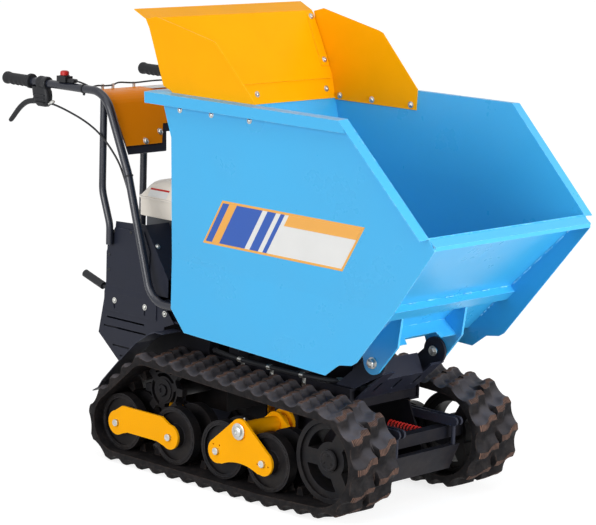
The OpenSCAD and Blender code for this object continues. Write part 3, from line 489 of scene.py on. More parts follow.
def belt_line():
    """Stations of the belt's inner line: length so far, place and outward direction in the side view."""
    def next_wheel(i):
        return WHEELS[(i + 1) % len(WHEELS)]

    def run_angle(i):
        (x0, z0, r0), (x1, z1, r1) = WHEELS[i], next_wheel(i)
        return math.atan2(z1 - z0, x1 - x0) - math.acos((r0 - r1) / math.hypot(x1 - x0, z1 - z0))

    def outward(a):
        return Vector((math.cos(a), 0, math.sin(a)))

    stations = []
    length = 0.0
    for i, (x, z, r) in enumerate(WHEELS):
        centre = Vector((x, 0, z))
        first = run_angle(i - 1)
        turn = (run_angle(i) - first) % (2 * math.pi)
        count = max(2, round(turn * r / BELT_STEP))
        for k in range(count):
            n = outward(first + turn * k / count)
            stations.append((length + turn * r * k / count, centre + r * n, n))
        length += turn * r
        n = outward(first + turn)
        start = centre + r * n
        x1, z1, r1 = next_wheel(i)
        run = Vector((x1, 0, z1)) + r1 * n - start
        count = max(2, round(run.length / BELT_STEP))
        stations += [(length + run.length * k / count, start + run * k / count, n) for k in range(count)]
        length += run.length
    return stations, length


def clamp(v):
    return min(1.0, max(0.0, v))


def lug_height(along, y, s, pitch):
    """Height over the carcass at a length along the belt and the distance y outwards from its middle,
    and whether it is a ridge's top."""
    row = 0.0 if y > 0 else 0.5
    centre = ROW_Y if y > 0 else -ROW_Y
    wave = ZIGZAG * math.tanh((y - centre) * s / ZIGZAG)
    u = (along - wave) / pitch - row
    d = abs(u - round(u)) * pitch
    slope = clamp((d - RIDGE) / (pitch / 2 - RIDGE))
    rise = 1 - HOLLOW * math.sin(slope * math.pi / 2) ** HOLLOW_POWER
    edge = clamp((abs(y) - TAPER_Y) / (BELT_HALF - TAPER_Y))
    groove = clamp((GROOVE_Y - abs(y)) / GROOVE_SLOPE)
    top = d < RIDGE + 0.6 and edge < 0.6 and groove < 0.1
    return LUG_H * rise * (1 - TAPER_DROP * edge * edge) * (1 - GROOVE_DROP * groove), top


def belt(side, s):
    stations, length = belt_line()
    count = len(stations)
    teeth = round(length / PITCH_WISH)
    pitch = length / teeth

    def at_width(q, y):
        return at(q.x, s * (BELT_Y + y), q.z)

    def inner_line(along, off):
        along %= length
        i = max(k for k in range(count) if stations[k][0] <= along)
        (here, p, n), (there, q, _) = stations[i], stations[(i + 1) % count]
        return p.lerp(q, (along - here) / ((there - here) % length)) + n * off

    bm = bmesh.new()
    rows = []
    tops = []
    for along, p, n in stations:
        lugs = [lug_height(along, y, s, pitch) for y in BELT_WIDTHS]
        ring = [at_width(p + n * (BELT_T + h), y) for y, (h, _) in zip(BELT_WIDTHS, lugs)]
        ring += [at_width(p + n * BELT_INNER, y) for y in (BELT_HALF, -BELT_HALF)]
        rows.append([bm.verts.new(q) for q in ring])
        tops.append([top for _, top in lugs] + [False, False])
    for i in range(count):
        j = (i + 1) % count
        for k in range(len(rows[i])):
            m = (k + 1) % len(rows[i])
            face = bm.faces.new((rows[i][k], rows[i][m], rows[j][m], rows[j][k]))
            face.material_index = int(tops[i][k] and tops[i][m] and tops[j][k] and tops[j][m])
    for k in range(teeth):
        corners = [inner_line(k * pitch + step, off) for step, off in TOOTH]
        loft(bm, [[at_width(q, y) for q in corners] for y in TOOTH_Y])
    obj = piece("tread_" + side, bm, paint["rubber"], "chassis", crease=40)
    obj.data.materials.append(worn_rubber)
    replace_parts(obj, "track_" + side)


for side, s in SIDES.items():
    belt(side, s)

# Extension: bolts along the feet of its wings, a strip along its back and a cover strip on each corner

WING_IN = 6.6
WING_BOLT_X = (-56, 75, 230)
WING_BOLT_Z = 1092
WING_NUT_Z = 1094
WING_TILT = 0.06
WING_BOLT_R = 6.2
WING_NUT_R = 6.8
SEAM_BOLT_Y = (-300, 0, 300)
SEAM_BOLT = Vector((-82.3, 0, 1114))
SEAM_OUT = Vector((0.9543, 0, 0.2987))
SEAM_BOLT_R = 6.4
BACK_LOW = Vector((-95.4, 0, 1156))
BACK_TOP = Vector((-197.4, 0, 1342.5))
BACK_UP = (BACK_TOP - BACK_LOW).normalized()
BACK_OUT = Vector((BACK_UP.z, 0, -BACK_UP.x))
STRIP_T = 2.2
STRIP_LAP = 13


def beside(p, y):
    """A point of the side view at the distance y from the middle plane."""
    return at(p.x, y, p.z)


def clear_half(p, margin):
    """Half the width between the wings at a point of the side view, less a margin."""
    return wall(p.x, p.z) - WING_IN - margin


def on_back(share, lift):
    """A point at a share of the back's height, lifted off its inner face."""
    return BACK_LOW.lerp(BACK_TOP, share) + BACK_OUT * lift


outer_bolts = []
inner_bolts = []
for s in BOTH:
    for x in WING_BOLT_X:
        outer_y = s * (wall(x, WING_BOLT_Z) + 0.1)
        outer_bolts.append((at(x, outer_y, WING_BOLT_Z), (0, s, WING_TILT), WING_BOLT_R))
        inner_y = s * (wall(x, WING_NUT_Z) - WING_IN)
        inner_bolts.append((at(x, inner_y, WING_NUT_Z), (0, -s, -WING_TILT), WING_NUT_R))
for y in SEAM_BOLT_Y:
    inner_bolts.append((beside(SEAM_BOLT + SEAM_OUT * 0.2, y), SEAM_OUT, SEAM_BOLT_R))
bm = bmesh.new()
low = on_back(0, 0.15) - BACK_UP * STRIP_LAP
top = on_back(0.985, 0.15)
corners = ((-1, low, 10), (1, low, 10), (1, top, 3), (-1, top, 3))
plate(bm, [beside(p, s * clear_half(p, margin)) for s, p, margin in corners], BACK_OUT * STRIP_T)
low = on_back(0.13, STRIP_T + 0.3)
top = on_back(0.965, STRIP_T + 0.3)
corners = ((low, 3), (top, 3), (top, 32), (low, 38))
for s in BOTH:
    plate(bm, [beside(p, s * clear_half(p, margin)) for p, margin in corners], BACK_OUT * STRIP_T)
    for share in (0.22, 0.9):
        p = on_back(share, 2 * STRIP_T + 0.5)
        inner_bolts.append((beside(p, s * clear_half(p, 18)), BACK_OUT, SEAM_BOLT_R))
piece("extension_seams", bm, paint["yellow"], "skip")
dome_bolts("wing_bolts_outside", outer_bolts, "skip")
dome_bolts("wing_bolts_inside", inner_bolts, "skip")

# Tipping pivot: capped nuts over the pin's ends, bolt heads inside the stand's ears

PIVOT_X = 543
PIVOT_Z = 428
PIVOT_HEAD_Y = 117.6
PIVOT_HEAD_R = 11.2
PIVOT_HEAD_TURN = 0.7
PIVOT_WASHER = ((0, 0), (17, 0), (17, 1.8), (16.2, 2.4), (0, 2.4))
PIVOT_NUT = ((0, 0), (14.2, 0), (14.2, 8.2), (12.6, 9.6), (0, 9.6))
PIVOT_CAP = ((0, 0), (11.2, 0), (10.6, 1.6), (8.2, 2.4), (0, 3))
# What sits on the end of the pin: profile, y, steps round it and turn
PIVOT_STACK = ((PIVOT_WASHER, 141.2, 28, 0), (PIVOT_NUT, 143.7, 6, HEX_TURN), (PIVOT_CAP, 152.6, 28, 0))
nuts = bmesh.new()
heads = bmesh.new()
for k, s in enumerate(BOTH):
    for profile, y, steps, turn in PIVOT_STACK:
        spin(nuts, profile, at(PIVOT_X, s * y, PIVOT_Z), (0, s, 0), steps, turn)
    head = at(PIVOT_X, s * PIVOT_HEAD_Y, PIVOT_Z)
    hex_bolt(heads, head, (0, -s, 0), PIVOT_HEAD_R, HEX_TURN + PIVOT_HEAD_TURN * k)
piece("pivot_nuts", nuts, zinc, "skip")
piece("pivot_heads", heads, zinc, "skip")

# Running gear: axle ends, washers and grease nipples on the bogies, caps on sprockets and idlers

AXLE_END_Y = 338.1
AXLE_END = ((0, 0), (10.6, 0), (10.6, 8.2), (9.8, 9.2), (5.2, 9.6), (4.6, 8.4), (0, 8.4))
SPROCKET_CAP_Y = 276.2
SPROCKET_CAP = ((0, 0), (17, 0), (17, 4), (15.5, 5.5), (8.5, 6), (8, 2), (0, 2))
BOGIE_PIVOT = (220.5, 342.1, 198)
BOGIE_WASHER = ((0, 0), (24.5, 0), (24.5, 2.8), (23.5, 3.4), (15.5, 3.4), (15.5, 8.8), (13.5, 10.5),
                (7.5, 11.5), (6.8, 9), (0, 9))
NIPPLE = ((0, 0), (5.5, 0), (5.5, 5), (2.8, 6), (2.6, 10), (3.6, 11.5), (2, 14), (0, 14))
NIPPLE_PLACES = ((220.5, 320, 221.5), (225.3, 168, 237.5))
IDLER_CAP_Y = 300.1
IDLER_CAP = ((0, 0), (30.5, 0), (30.5, 2.2), (29, 4.2), (24.5, 4.6), (23.8, 3.6), (22, 3.6), (20.5, 4.6),
             (0, 5.2))
IDLER_SCREW = ((0, 0), (3, 0), (3, 1.8), (2, 2.6), (0, 2.6))
IDLER_SCREW_R = 15
IDLER_SCREW_Y = 304.8
ends = bmesh.new()
washers = bmesh.new()
caps = bmesh.new()
for s in BOTH:
    out = (0, s, 0)
    for x in ROLLER_X:
        spin(ends, AXLE_END, at(x, s * AXLE_END_Y, ROLLER_Z), out, 30)
    x, y, z = BOGIE_PIVOT
    spin(washers, BOGIE_WASHER, at(x, s * y, z), out, 36)
    for x, y, z in NIPPLE_PLACES:
        spin(washers, NIPPLE, at(x, s * y, z), (0.1, 0, 1), 12)
    spin(caps, SPROCKET_CAP, at(SPROCKET[0], s * SPROCKET_CAP_Y, SPROCKET[1]), out, 30)
    spin(caps, IDLER_CAP, at(IDLER[0], s * IDLER_CAP_Y, IDLER[1]), out, 40)
    for a in (math.radians(90 + 120 * k) for k in range(3)):
        x = IDLER[0] + IDLER_SCREW_R * math.cos(a)
        z = IDLER[1] + IDLER_SCREW_R * math.sin(a)
        spin(caps, IDLER_SCREW, at(x, s * IDLER_SCREW_Y, z), out, 10)
piece("axle_ends", ends, zinc, "chassis")
piece("bogie_washers", washers, zinc, "chassis")
piece("idler_caps", caps, paint["cast"], "chassis")

# Rolled edges of the rollers and the welds of their dishes: radius, y, bead radius and steps
ROLLER_BEADS = ((79, 317, 1.4, 48), (36, 307.6, 1.6, 36))
bm = bmesh.new()
for s in BOTH:
    for x in ROLLER_X:
        for r, y, bead, steps in ROLLER_BEADS:
            ring = [at(x + r * math.cos(a), s * y, ROLLER_Z + r * math.sin(a)) for a in angles(steps)]
            tube(bm, ring + ring[:1], bead)
piece("roller_beads", bm, paint["cast"], "chassis")

# Tension springs: a wound wire on each guide rod

SPRING_X = 443.5
SPRING_Y = 54.85
SPRING_Z = 199
SPRING_LENGTH = 124
COIL_R = 13.6
TURNS = 10
TURN_STEPS = 16
COIL_WIRE_R = 3.4
ROD_X = (440.2, 570.6)
ROD_R = 8.5
coils = bmesh.new()
rods = bmesh.new()
for s in BOTH:
    y = s * SPRING_Y
    wire = []
    for k in range(TURNS * TURN_STEPS + 1):
        a = 2 * math.pi * k / TURN_STEPS
        x = SPRING_X + SPRING_LENGTH * k / (TURNS * TURN_STEPS)
        wire.append(at(x, y + COIL_R * math.cos(a), SPRING_Z + COIL_R * math.sin(a)))
    tube(coils, wire, COIL_WIRE_R)
    tube(rods, [at(x, y, SPRING_Z) for x in ROD_X], ROD_R, 16)
springs = piece("spring_coils", coils, paint["red_paint"], "chassis")
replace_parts(springs, "tension_springs")
piece("spring_rods", rods, paint["steel"], "chassis")

# Bolts of the side panels and the console, plugs in the panels' spare holes

PANEL_BOLTS = ((-406, 261.5, 470), (-271, 261.5, 470), (-187, 258.2, 463))
CONSOLE_BOLTS = ((-367, 182, 955), (-379, 113, 978))
CONSOLE_OUT = Vector((0.876, 0, 0.482))
PANEL_BOLT_R = 6.2
CONSOLE_BOLT_R = 7.2
CONSOLE_LIFT = 0.2
PLUG = ((0, 0), (5.2, 0), (5.2, 0.8), (4, 1.8), (2.2, 2.4), (0, 2.4))
PLUG_Y = 255.1
PLUG_PLACES = ((-421, 680), (-345, 686), (-440, 606), (-440, 560))
rows = []
plugs = bmesh.new()
for s in BOTH:
    rows += [(at(x, s * y, z), (0, s, 0), PANEL_BOLT_R) for x, y, z in PANEL_BOLTS]
    for x, y, z in CONSOLE_BOLTS:
        rows.append((at(x, s * y, z) + CONSOLE_OUT * CONSOLE_LIFT * MM, CONSOLE_OUT, CONSOLE_BOLT_R))
    for x, z in PLUG_PLACES:
        spin(plugs, PLUG, at(x, s * PLUG_Y, z), (0, s, 0), 14)
dome_bolts("panel_bolts", rows, "chassis")
piece("panel_plugs", plugs, paint["plastic"], "chassis")

# Hand levers: a clamp round the tube with a ribbed housing, a curved lever, a cable adjuster and two bands

TUBE_Y = 285
TUBE_Z = 1102
CLAMP_X = -739
CLAMP = ((12.8, 0), (18.5, 0), (20.5, 3), (20.5, 14), (18.8, 17), (18.8, 24), (20.5, 27), (20.5, 38),
         (18.5, 41), (12.8, 41))
# Sections of the housing from the top: rear x, front x, z and half width
HOUSING = ((-766, -700, 1089, 15), (-764, -692, 1076, 16), (-761, -690, 1062, 16), (-756, -690, 1048, 15),
           (-748, -694, 1036, 13), (-742, -702, 1030, 9))
RIB_X = (-750, -700)
RIB_OUT = 16.5
RIB_Z = (1042, 1054, 1066)
RIB_R = 2.2
LEVER = ((-738, 1046), (-768, 1042), (-788, 1039), (-809, 1031), (-831, 1016), (-849, 999), (-865, 982),
         (-878, 969))
# The lever's half height and half width at its root and what they lose on the way, and its thin tip
LEVER_HALF = 9
LEVER_HALF_LOSS = 2.2
LEVER_WIDE = 7.5
LEVER_WIDE_LOSS = 1.5
TIP_FROM = 0.94
TIP_HALF = 6.9
TIP_LOSS = 30
ADJUSTER = ((0, 0), (6.2, 0), (6.2, 5), (4.8, 6), (4.8, 12), (6, 13), (6, 19), (4.6, 20.5), (4.6, 26),
            (3.6, 28), (0, 28))
ADJUSTER_X = -698
ADJUSTER_Z = 1041
ADJUSTER_AXIS = (29, 0, 9)
BAND = ((12.6, -2.5), (14.2, -2.5), (14.5, 0), (14.2, 2.5), (12.6, 2.5))
BANDS = ((-534, TUBE_Z, AHEAD), (-328, 862, (0.32, 0, -0.95)))
BAND_LUG_X = (-537, -531)
BAND_LUG_HALF = 3
BAND_LUG_Z = (1082, 1088.2)


def lever_section(line, i):
    """The lever's rounded section at point i of its line."""
    share = i / (len(line) - 1)
    half = LEVER_HALF - LEVER_HALF_LOSS * share
    if share >= TIP_FROM:
        half = TIP_HALF - TIP_LOSS * (share - TIP_FROM)
    upright = direction(line, i).cross(ACROSS).normalized() * half * MM
    wide = ACROSS * (LEVER_WIDE - LEVER_WIDE_LOSS * share) * MM
    return [line[i] + upright * squared(math.sin(a), 0.6) + wide * squared(math.cos(a), 0.6)
            for a in angles(16)]


def hand_lever(side, s):
    y = s * TUBE_Y
    bm = bmesh.new()
    spin(bm, CLAMP, at(CLAMP_X, y, TUBE_Z), AHEAD, 32)
    rings = []
    for rear, front, z, half in HOUSING:
        middle = (rear + front) / 2
        reach = (front - rear) / 2
        rings.append([at(middle + reach * squared(math.cos(a), 0.5), y + half * squared(math.sin(a), 0.5), z)
                      for a in angles(28)])
    loft(bm, rings)
    for z in RIB_Z:
        tube(bm, [at(x, y + s * RIB_OUT, z) for x in RIB_X], RIB_R)
    line = smooth_line([at(x, y, z) for x, z in LEVER], 6)
    loft(bm, [lever_section(line, i) for i in range(len(line))])
    lever = piece("lever_" + side, bm, paint["plastic"], "chassis")
    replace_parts(lever, "control_lever_" + side)

    bm = bmesh.new()
    spin(bm, ADJUSTER, at(ADJUSTER_X, y, ADJUSTER_Z), ADJUSTER_AXIS, 20)
    piece("lever_metal_" + side, bm, zinc, "chassis")

    bm = bmesh.new()
    for x, z, axis in BANDS:
        spin(bm, BAND, at(x, y, z), axis)
    low, high = zip(BAND_LUG_X, (y - BAND_LUG_HALF, y + BAND_LUG_HALF), BAND_LUG_Z)
    block(bm, low, high, 1, 2)
    piece("tube_bands_" + side, bm, paint["plastic"], "chassis")


for side, s in SIDES.items():
    hand_lever(side, s)

# Grips: a swollen end, four finger ridges below and a flange

GRIP_END = ((-903, 6), (-902.4, 12), (-900.5, 16.5), (-897, 19), (-891, 19.6), (-885, 18.8), (-879, 17.2),
            (-873, 16.6))
GRIP_FLANGE = ((-788.5, 17.5), (-786, 21.5), (-784, 22.8), (-776, 22.8), (-774, 21.5), (-773, 13.2))
FINGERS = 4
FINGER_STEPS = 8
FINGER_STEP = 2.6
FINGER_SWELL = 1.5
FLUTE = 0.5


def grip(side, s):
    end_x, end_r = GRIP_END[-1]
    profile = [(x, r, 0.0) for x, r in GRIP_END]
    for k in range(1, FINGERS * FINGER_STEPS + 1):
        swell = FINGER_SWELL * (1 - math.cos(2 * math.pi * k / FINGER_STEPS))
        profile.append((end_x + FINGER_STEP * k, end_r, swell))
    profile += [(x, r, 0.0) for x, r in GRIP_FLANGE]
    rings = []
    for x, r, swell in profile:
        ring = []
        for k, a in enumerate(angles(36)):
            flute = FLUTE if swell and k % 3 == 0 else 0.0
            reach = r + swell * max(0.0, -math.sin(a)) + flute
            ring.append(at(x, s * TUBE_Y + reach * math.cos(a), TUBE_Z + reach * math.sin(a)))
        rings.append(ring)
    bm = bmesh.new()
    loft(bm, rings)
    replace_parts(piece("hand_grip_" + side, bm, paint["grip"], "chassis"), "grip_" + side)


# Control cables, from the lever's adjuster down to the deck, with radius and length in metres

CABLE_R = 0.0031
CABLE_ROUTE = ((-698, 285, 1041), (-672, 285, 1040), (-629, 285, 1032), (-584, 285, 1021), (-545, 285, 1010),
               (-506, 285, 996), (-472, 285, 980), (-439, 285, 959), (-405, 285, 931), (-374, 284, 897),
               (-356, 279, 858), (-339, 268, 800), (-322, 247, 738), (-324, 234, 680), (-330, 228, 560),
               (-330, 228, 446))


def control_cable(side, s):
    line = smooth_line([at(x, s * y, z) for x, y, z in CABLE_ROUTE])
    bm = bmesh.new()
    tube(bm, line, CABLE_R / MM, 10)
    cable = piece("cable_sheath_" + side, bm, paint["plastic"], "chassis")
    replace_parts(cable, "cable_" + side)


for side, s in SIDES.items():
    grip(side, s)
    control_cable(side, s)

# Stop switch: button, collar and the plug beside it with its lead

SWITCH_X = -624
BUTTON_Z = 1134.6
COLLAR_Z = 1132.6
BUTTON = ((11.2, 0), (13.5, 1), (13.8, 8.5), (12.5, 12), (9, 14.2), (0, 15))
COLLAR = ((11.2, 0), (15.5, 0), (15.5, 1.5), (13.5, 2.2), (11.2, 2.2))
LEAD_END = (-531.5, -262, 1104.6)
SWITCH_PLUG = ((-603.7, -296, 1114.8), (-572, -274, 1127))
LEAD_R = 2.8
SWITCH_LEAD = ((-573, -285, 1121), (-556, -284, 1120), (-540, -270, 1112), LEAD_END)
bm = bmesh.new()
spin(bm, BUTTON, at(SWITCH_X, -TUBE_Y, BUTTON_Z), UP)
piece("stop_button", bm, paint["red_paint"], "chassis")
bm = bmesh.new()
spin(bm, COLLAR, at(SWITCH_X, -TUBE_Y, COLLAR_Z), UP)
block(bm, *SWITCH_PLUG, 5)
tube(bm, smooth_line(path(SWITCH_LEAD)), LEAD_R)
piece("switch_body", bm, paint["plastic"], "chassis")

# Wire along the console's rear edge with its clips, and the console's bare plate

WIRE = (LEAD_END, (-531, -235, 1109), (-530, -202, 1107), (-531, -172, 1108), (-531, -145, 1114),
        (-530, -85, 1110), (-530, 0, 1112), (-530, 85, 1110), (-531, 172, 1108), (-531, 240, 1104))
WIRE_R = 2.6
CLIP_X = (-535, -528.4)
CLIP_Y = (-213, -171, -85, 60, 171)
CLIP_Z = (1092.5, 1113)
CLIP_HALF = 4
DASH_Z = 1098.2
DASH_PLATE_T = 0.6
DASH_PLATE = ((-520, -70, DASH_Z), (-462, -70, DASH_Z), (-462, 120, DASH_Z), (-520, 120, DASH_Z))
bm = bmesh.new()
tube(bm, smooth_line(path(WIRE)), WIRE_R)
piece("dash_wire", bm, paint["plastic"], "chassis")
bm = bmesh.new()
for y in CLIP_Y:
    low, high = zip(CLIP_X, (y - CLIP_HALF, y + CLIP_HALF), CLIP_Z)
    block(bm, low, high, 1.2, 2)
piece("wire_clips", bm, pale, "chassis")
bm = bmesh.new()
plate(bm, path(DASH_PLATE), UP * DASH_PLATE_T)
piece("dash_plate", bm, pale, "chassis")

# Engine: cooling fins in front, ribs at the rear, flange of the intake

FIN_Z = range(568, 689, 15)
FIN_T = 4
REAR_RIB_Y = range(-132, 69, 40)
REAR_RIB_WIDTH = 16
INTAKE_FLANGE = ((-236, 92, 590), (-196, 104, 672))
bm = bmesh.new()
for z in FIN_Z:
    block(bm, (-243, -99, z), (-170, 99, z + FIN_T), 1.2, 2)
for y in REAR_RIB_Y:
    block(bm, (-394.5, y, 520), (-390.3, y + REAR_RIB_WIDTH, 708), 1.5, 2)
block(bm, *INTAKE_FLANGE, 4)
piece("engine_fins", bm, paint["alloy"], "chassis")

# Starter cover with its vent bars and pull handle

STARTER_X = -316
STARTER_Y = -150.3
STARTER_Z = 612
STARTER = ((76, 0), (78, 6), (73, 22), (54, 34), (34, 38), (30, 32), (0, 32))
VENT_BARS = 20
# Inner and outer end of a vent bar: radius and y
VENT_BAR = ((40, -187.6), (70, -173))
VENT_BAR_R = 2.6
PULL_HANDLE = ((-372, -200, 690), (-330, -184, 702))
PULL_ROPE = ((-350, -188, 690), (-344, -178, 672))
ROPE_R = 3.2
bm = bmesh.new()
spin(bm, STARTER, at(STARTER_X, STARTER_Y, STARTER_Z), -ACROSS, 48)
for a in angles(VENT_BARS):
    ends = [at(STARTER_X + r * math.cos(a), y, STARTER_Z + r * math.sin(a)) for r, y in VENT_BAR]
    tube(bm, ends, VENT_BAR_R)
block(bm, *PULL_HANDLE, 5)
tube(bm, path(PULL_ROPE), ROPE_R)
piece("starter_cover", bm, paint["plastic"], "chassis")

# Air filter with louvres and its elbow, filler cap, spark plug's cap and ignition lead

AIR_FILTER = ((-222, 52, 700), (-160, 148, 800))
LOUVRE_Y = range(62, 127, 16)
LOUVRE_WIDTH = 8
ELBOW_R = 16
ELBOW = ((-190, 96, 701), (-196, 92, 684), (-206, 80, 672))
FILLER_PLACE = (-300, -60, 833.4)
FILLER_CAP = ((0, 0), (27, 0), (28.5, 3), (28.5, 16), (26, 20), (0, 21.5))
PLUG_CAP_PLACE = (-169, -50, 640)
PLUG_CAP_AXIS = (0.9, 0, 0.44)
PLUG_CAP = ((0, 0), (8, 0), (8, 12), (5, 16), (5, 34), (7, 36), (7, 50), (0, 52))
IGNITION_R = 3.6
IGNITION_LEAD = ((-124, -50, 662), (-118, -60, 700), (-150, -84, 728), (-222, -96, 716))
bm = bmesh.new()
block(bm, *AIR_FILTER, 12, 4)
for y in LOUVRE_Y:
    block(bm, (-160.5, y, 716), (-156, y + LOUVRE_WIDTH, 784), 1.8, 2)
tube(bm, smooth_line(path(ELBOW)), ELBOW_R, 16)
spin(bm, FILLER_CAP, at(*FILLER_PLACE), UP, 12)
spin(bm, PLUG_CAP, at(*PLUG_CAP_PLACE), PLUG_CAP_AXIS, 16)
tube(bm, smooth_line(path(IGNITION_LEAD)), IGNITION_R)
piece("engine_covers", bm, paint["plastic"], "chassis")

# Exhaust guard: hoops and bars round the muffler, and the tail pipe

HOOP_X = range(-368, -230, 17)
HOOP_STEPS = 24
HOOP_SPREAD = 100
BAR_ANGLES = range(-HOOP_SPREAD, HOOP_SPREAD + 1, 25)
BAR_ENDS = (-370, -231)
CAGE_Y = 150
CAGE_Z = 615
CAGE_R = 45
CAGE_WIRE = 2.4
TAIL_PIPE_R = 12
TAIL_PIPE = ((-374.5, 160, 610), (-392, 162, 606), (-404, 172, 592))


def on_cage(x, degrees):
    """A point of the cage round the muffler."""
    a = math.radians(degrees)
    return at(x, CAGE_Y + CAGE_R * math.cos(a), CAGE_Z + CAGE_R * math.sin(a))


bm = bmesh.new()
for x in HOOP_X:
    hoop = [on_cage(x, HOOP_SPREAD * (2 * k / HOOP_STEPS - 1)) for k in range(HOOP_STEPS + 1)]
    tube(bm, hoop, CAGE_WIRE)
for degrees in BAR_ANGLES:
    tube(bm, [on_cage(x, degrees) for x in BAR_ENDS], CAGE_WIRE)
tube(bm, smooth_line(path(TAIL_PIPE)), TAIL_PIPE_R, 16)
piece("exhaust_guard", bm, paint["steel"], "chassis")

# Engine cover: cheeks that lap inside the side panels and sloping front sheets beside the engine

COVER_TOP = (-286, 716)
COVER_LOW = (-182, 567)
COVER_OUT = Vector((0.82, 0, 0.5724))
COVER_T = 3
CHEEK_Y = 248.8
CHEEK = ((-430, 600), (-416, 711), COVER_TOP, COVER_LOW, (-182, 512), (-300, 512))
COVER_BOLT = (-244.1, 238, 656)
COVER_BOLT_R = 5.5
# Inner edge of the front sheet on each side
COVER_REACH = {-1: 156, 1: 200}
bm = bmesh.new()
rows = []
for s in BOTH:
    plate(bm, [at(x, s * CHEEK_Y, z) for x, z in CHEEK], ACROSS * s * COVER_T)
    edges = ((COVER_TOP, CHEEK_Y - 0.2), (COVER_LOW, CHEEK_Y - 0.2), (COVER_LOW, COVER_REACH[s]),
             (COVER_TOP, COVER_REACH[s]))
    plate(bm, [at(x, s * y, z) for (x, z), y in edges], -COVER_OUT * COVER_T)
    x, y, z = COVER_BOLT
    rows.append((at(x, s * y, z), COVER_OUT, COVER_BOLT_R))
piece("engine_cover", bm, paint["black_paint"], "chassis")
dome_bolts("engine_cover_bolts", rows, "chassis")

# Fuel tank: two pressed halves with a flange between them, the upper one drawn in

TANK_X = -325
TANK_Y = -60
TANK_HALF_X = 97.5
TANK_HALF_Y = 107.5
# Sections from below: height, inset and corner radius
TANK = ((723.4, 6, 30), (725, 1, 35), (777, 0, 36), (778.5, -4.4, 40), (783, -4.6, 40), (784.5, 1, 36),
        (800, 11, 36), (815, 21, 36), (824, 29, 36), (829, 38, 36), (832, 50, 34), (832.8, 64, 28))
TANK_STEPS = 48


def tank_ring(z, inset, r):
    ring = []
    for k in range(TANK_STEPS):
        a = 2 * math.pi * (k + 0.5) / TANK_STEPS
        x = math.copysign(TANK_HALF_X - inset - r, math.cos(a)) + r * math.cos(a)
        y = math.copysign(TANK_HALF_Y - inset - r, math.sin(a)) + r * math.sin(a)
        ring.append(at(TANK_X + x, TANK_Y + y, z))
    return ring


bm = bmesh.new()
loft(bm, [tank_ring(*row) for row in TANK])
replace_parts(piece("tank_shell", bm, paint["cream"], "chassis"), "fuel_tank")

# Bare plate with a red band on the tank's sloping side: distances up the slope and off it
LABEL_X = (-372, -290)
LABEL_FOOT = Vector((0, -166.5, 784.5))
TANK_SLOPE = Vector((0, 10, 15.5)).normalized()
TANK_OUT = Vector((0, -TANK_SLOPE.z, TANK_SLOPE.y))
LABEL_T = 0.3
LABELS = (("tank_label", pale, 1.5, 30, 0.3), ("tank_label_band", paint["red_paint"], 24, 30, 0.6))
for name, material, low, high, lift in LABELS:
    bm = bmesh.new()
    corners = []
    for x, up in ((LABEL_X[0], low), (LABEL_X[1], low), (LABEL_X[1], high), (LABEL_X[0], high)):
        p = LABEL_FOOT + TANK_OUT * lift + TANK_SLOPE * up
        corners.append(at(x, p.y, p.z))
    plate(bm, corners, TANK_OUT * LABEL_T)
    piece(name, bm, material, "chassis")

# Guard behind the gearbox: a sheet with pressed ribs

GUARD_X = -296
GUARD_T = 3
GUARD = ((-141.4, 84), (-120, 62), (120, 62), (141.4, 84), (141.4, 214), (164, 232), (164, 264), (-164, 264),
         (-164, 232), (-141.4, 214))
GUARD_RIB_Y = (-90, -30, 30, 90)
GUARD_RIB_Z = (110, 236)
GUARD_RIB_R = 6
GUARD_BOLTS = ((-126, 120), (-126, 245), (126, 120), (126, 245))
GUARD_BOLT_R = 6
bm = bmesh.new()
plate(bm, [at(GUARD_X, y, z) for y, z in GUARD], AHEAD * GUARD_T)
for y in GUARD_RIB_Y:
    tube(bm, [at(GUARD_X - 0.5, y, z) for z in GUARD_RIB_Z], GUARD_RIB_R, 12)
piece("gearbox_guard", bm, paint["black_paint"], "chassis")
rows = [(at(GUARD_X - 0.2, y, z), -AHEAD, GUARD_BOLT_R) for y, z in GUARD_BOLTS]
dome_bolts("gearbox_guard_bolts", rows, "chassis")

# Liner sheets inside the rear guards, in the darker painted-shade black, dark behind their lower slots

LINER = ((-470, 400), (-474, 362), (-358, 268), (-298, 322), (-298, 345), (-440, 400))
LINER_Y = 252.4
LINER_T = 2.4
bm = bmesh.new()
for s in BOTH:
    plate(bm, [at(x, s * LINER_Y, z) for x, z in LINER], ACROSS * s * LINER_T)
piece("guard_liners", bm, painted_shade_black, "chassis")

# Hydraulic hoses beside the rails, with fittings at their ends and clips on the rails' upper edges

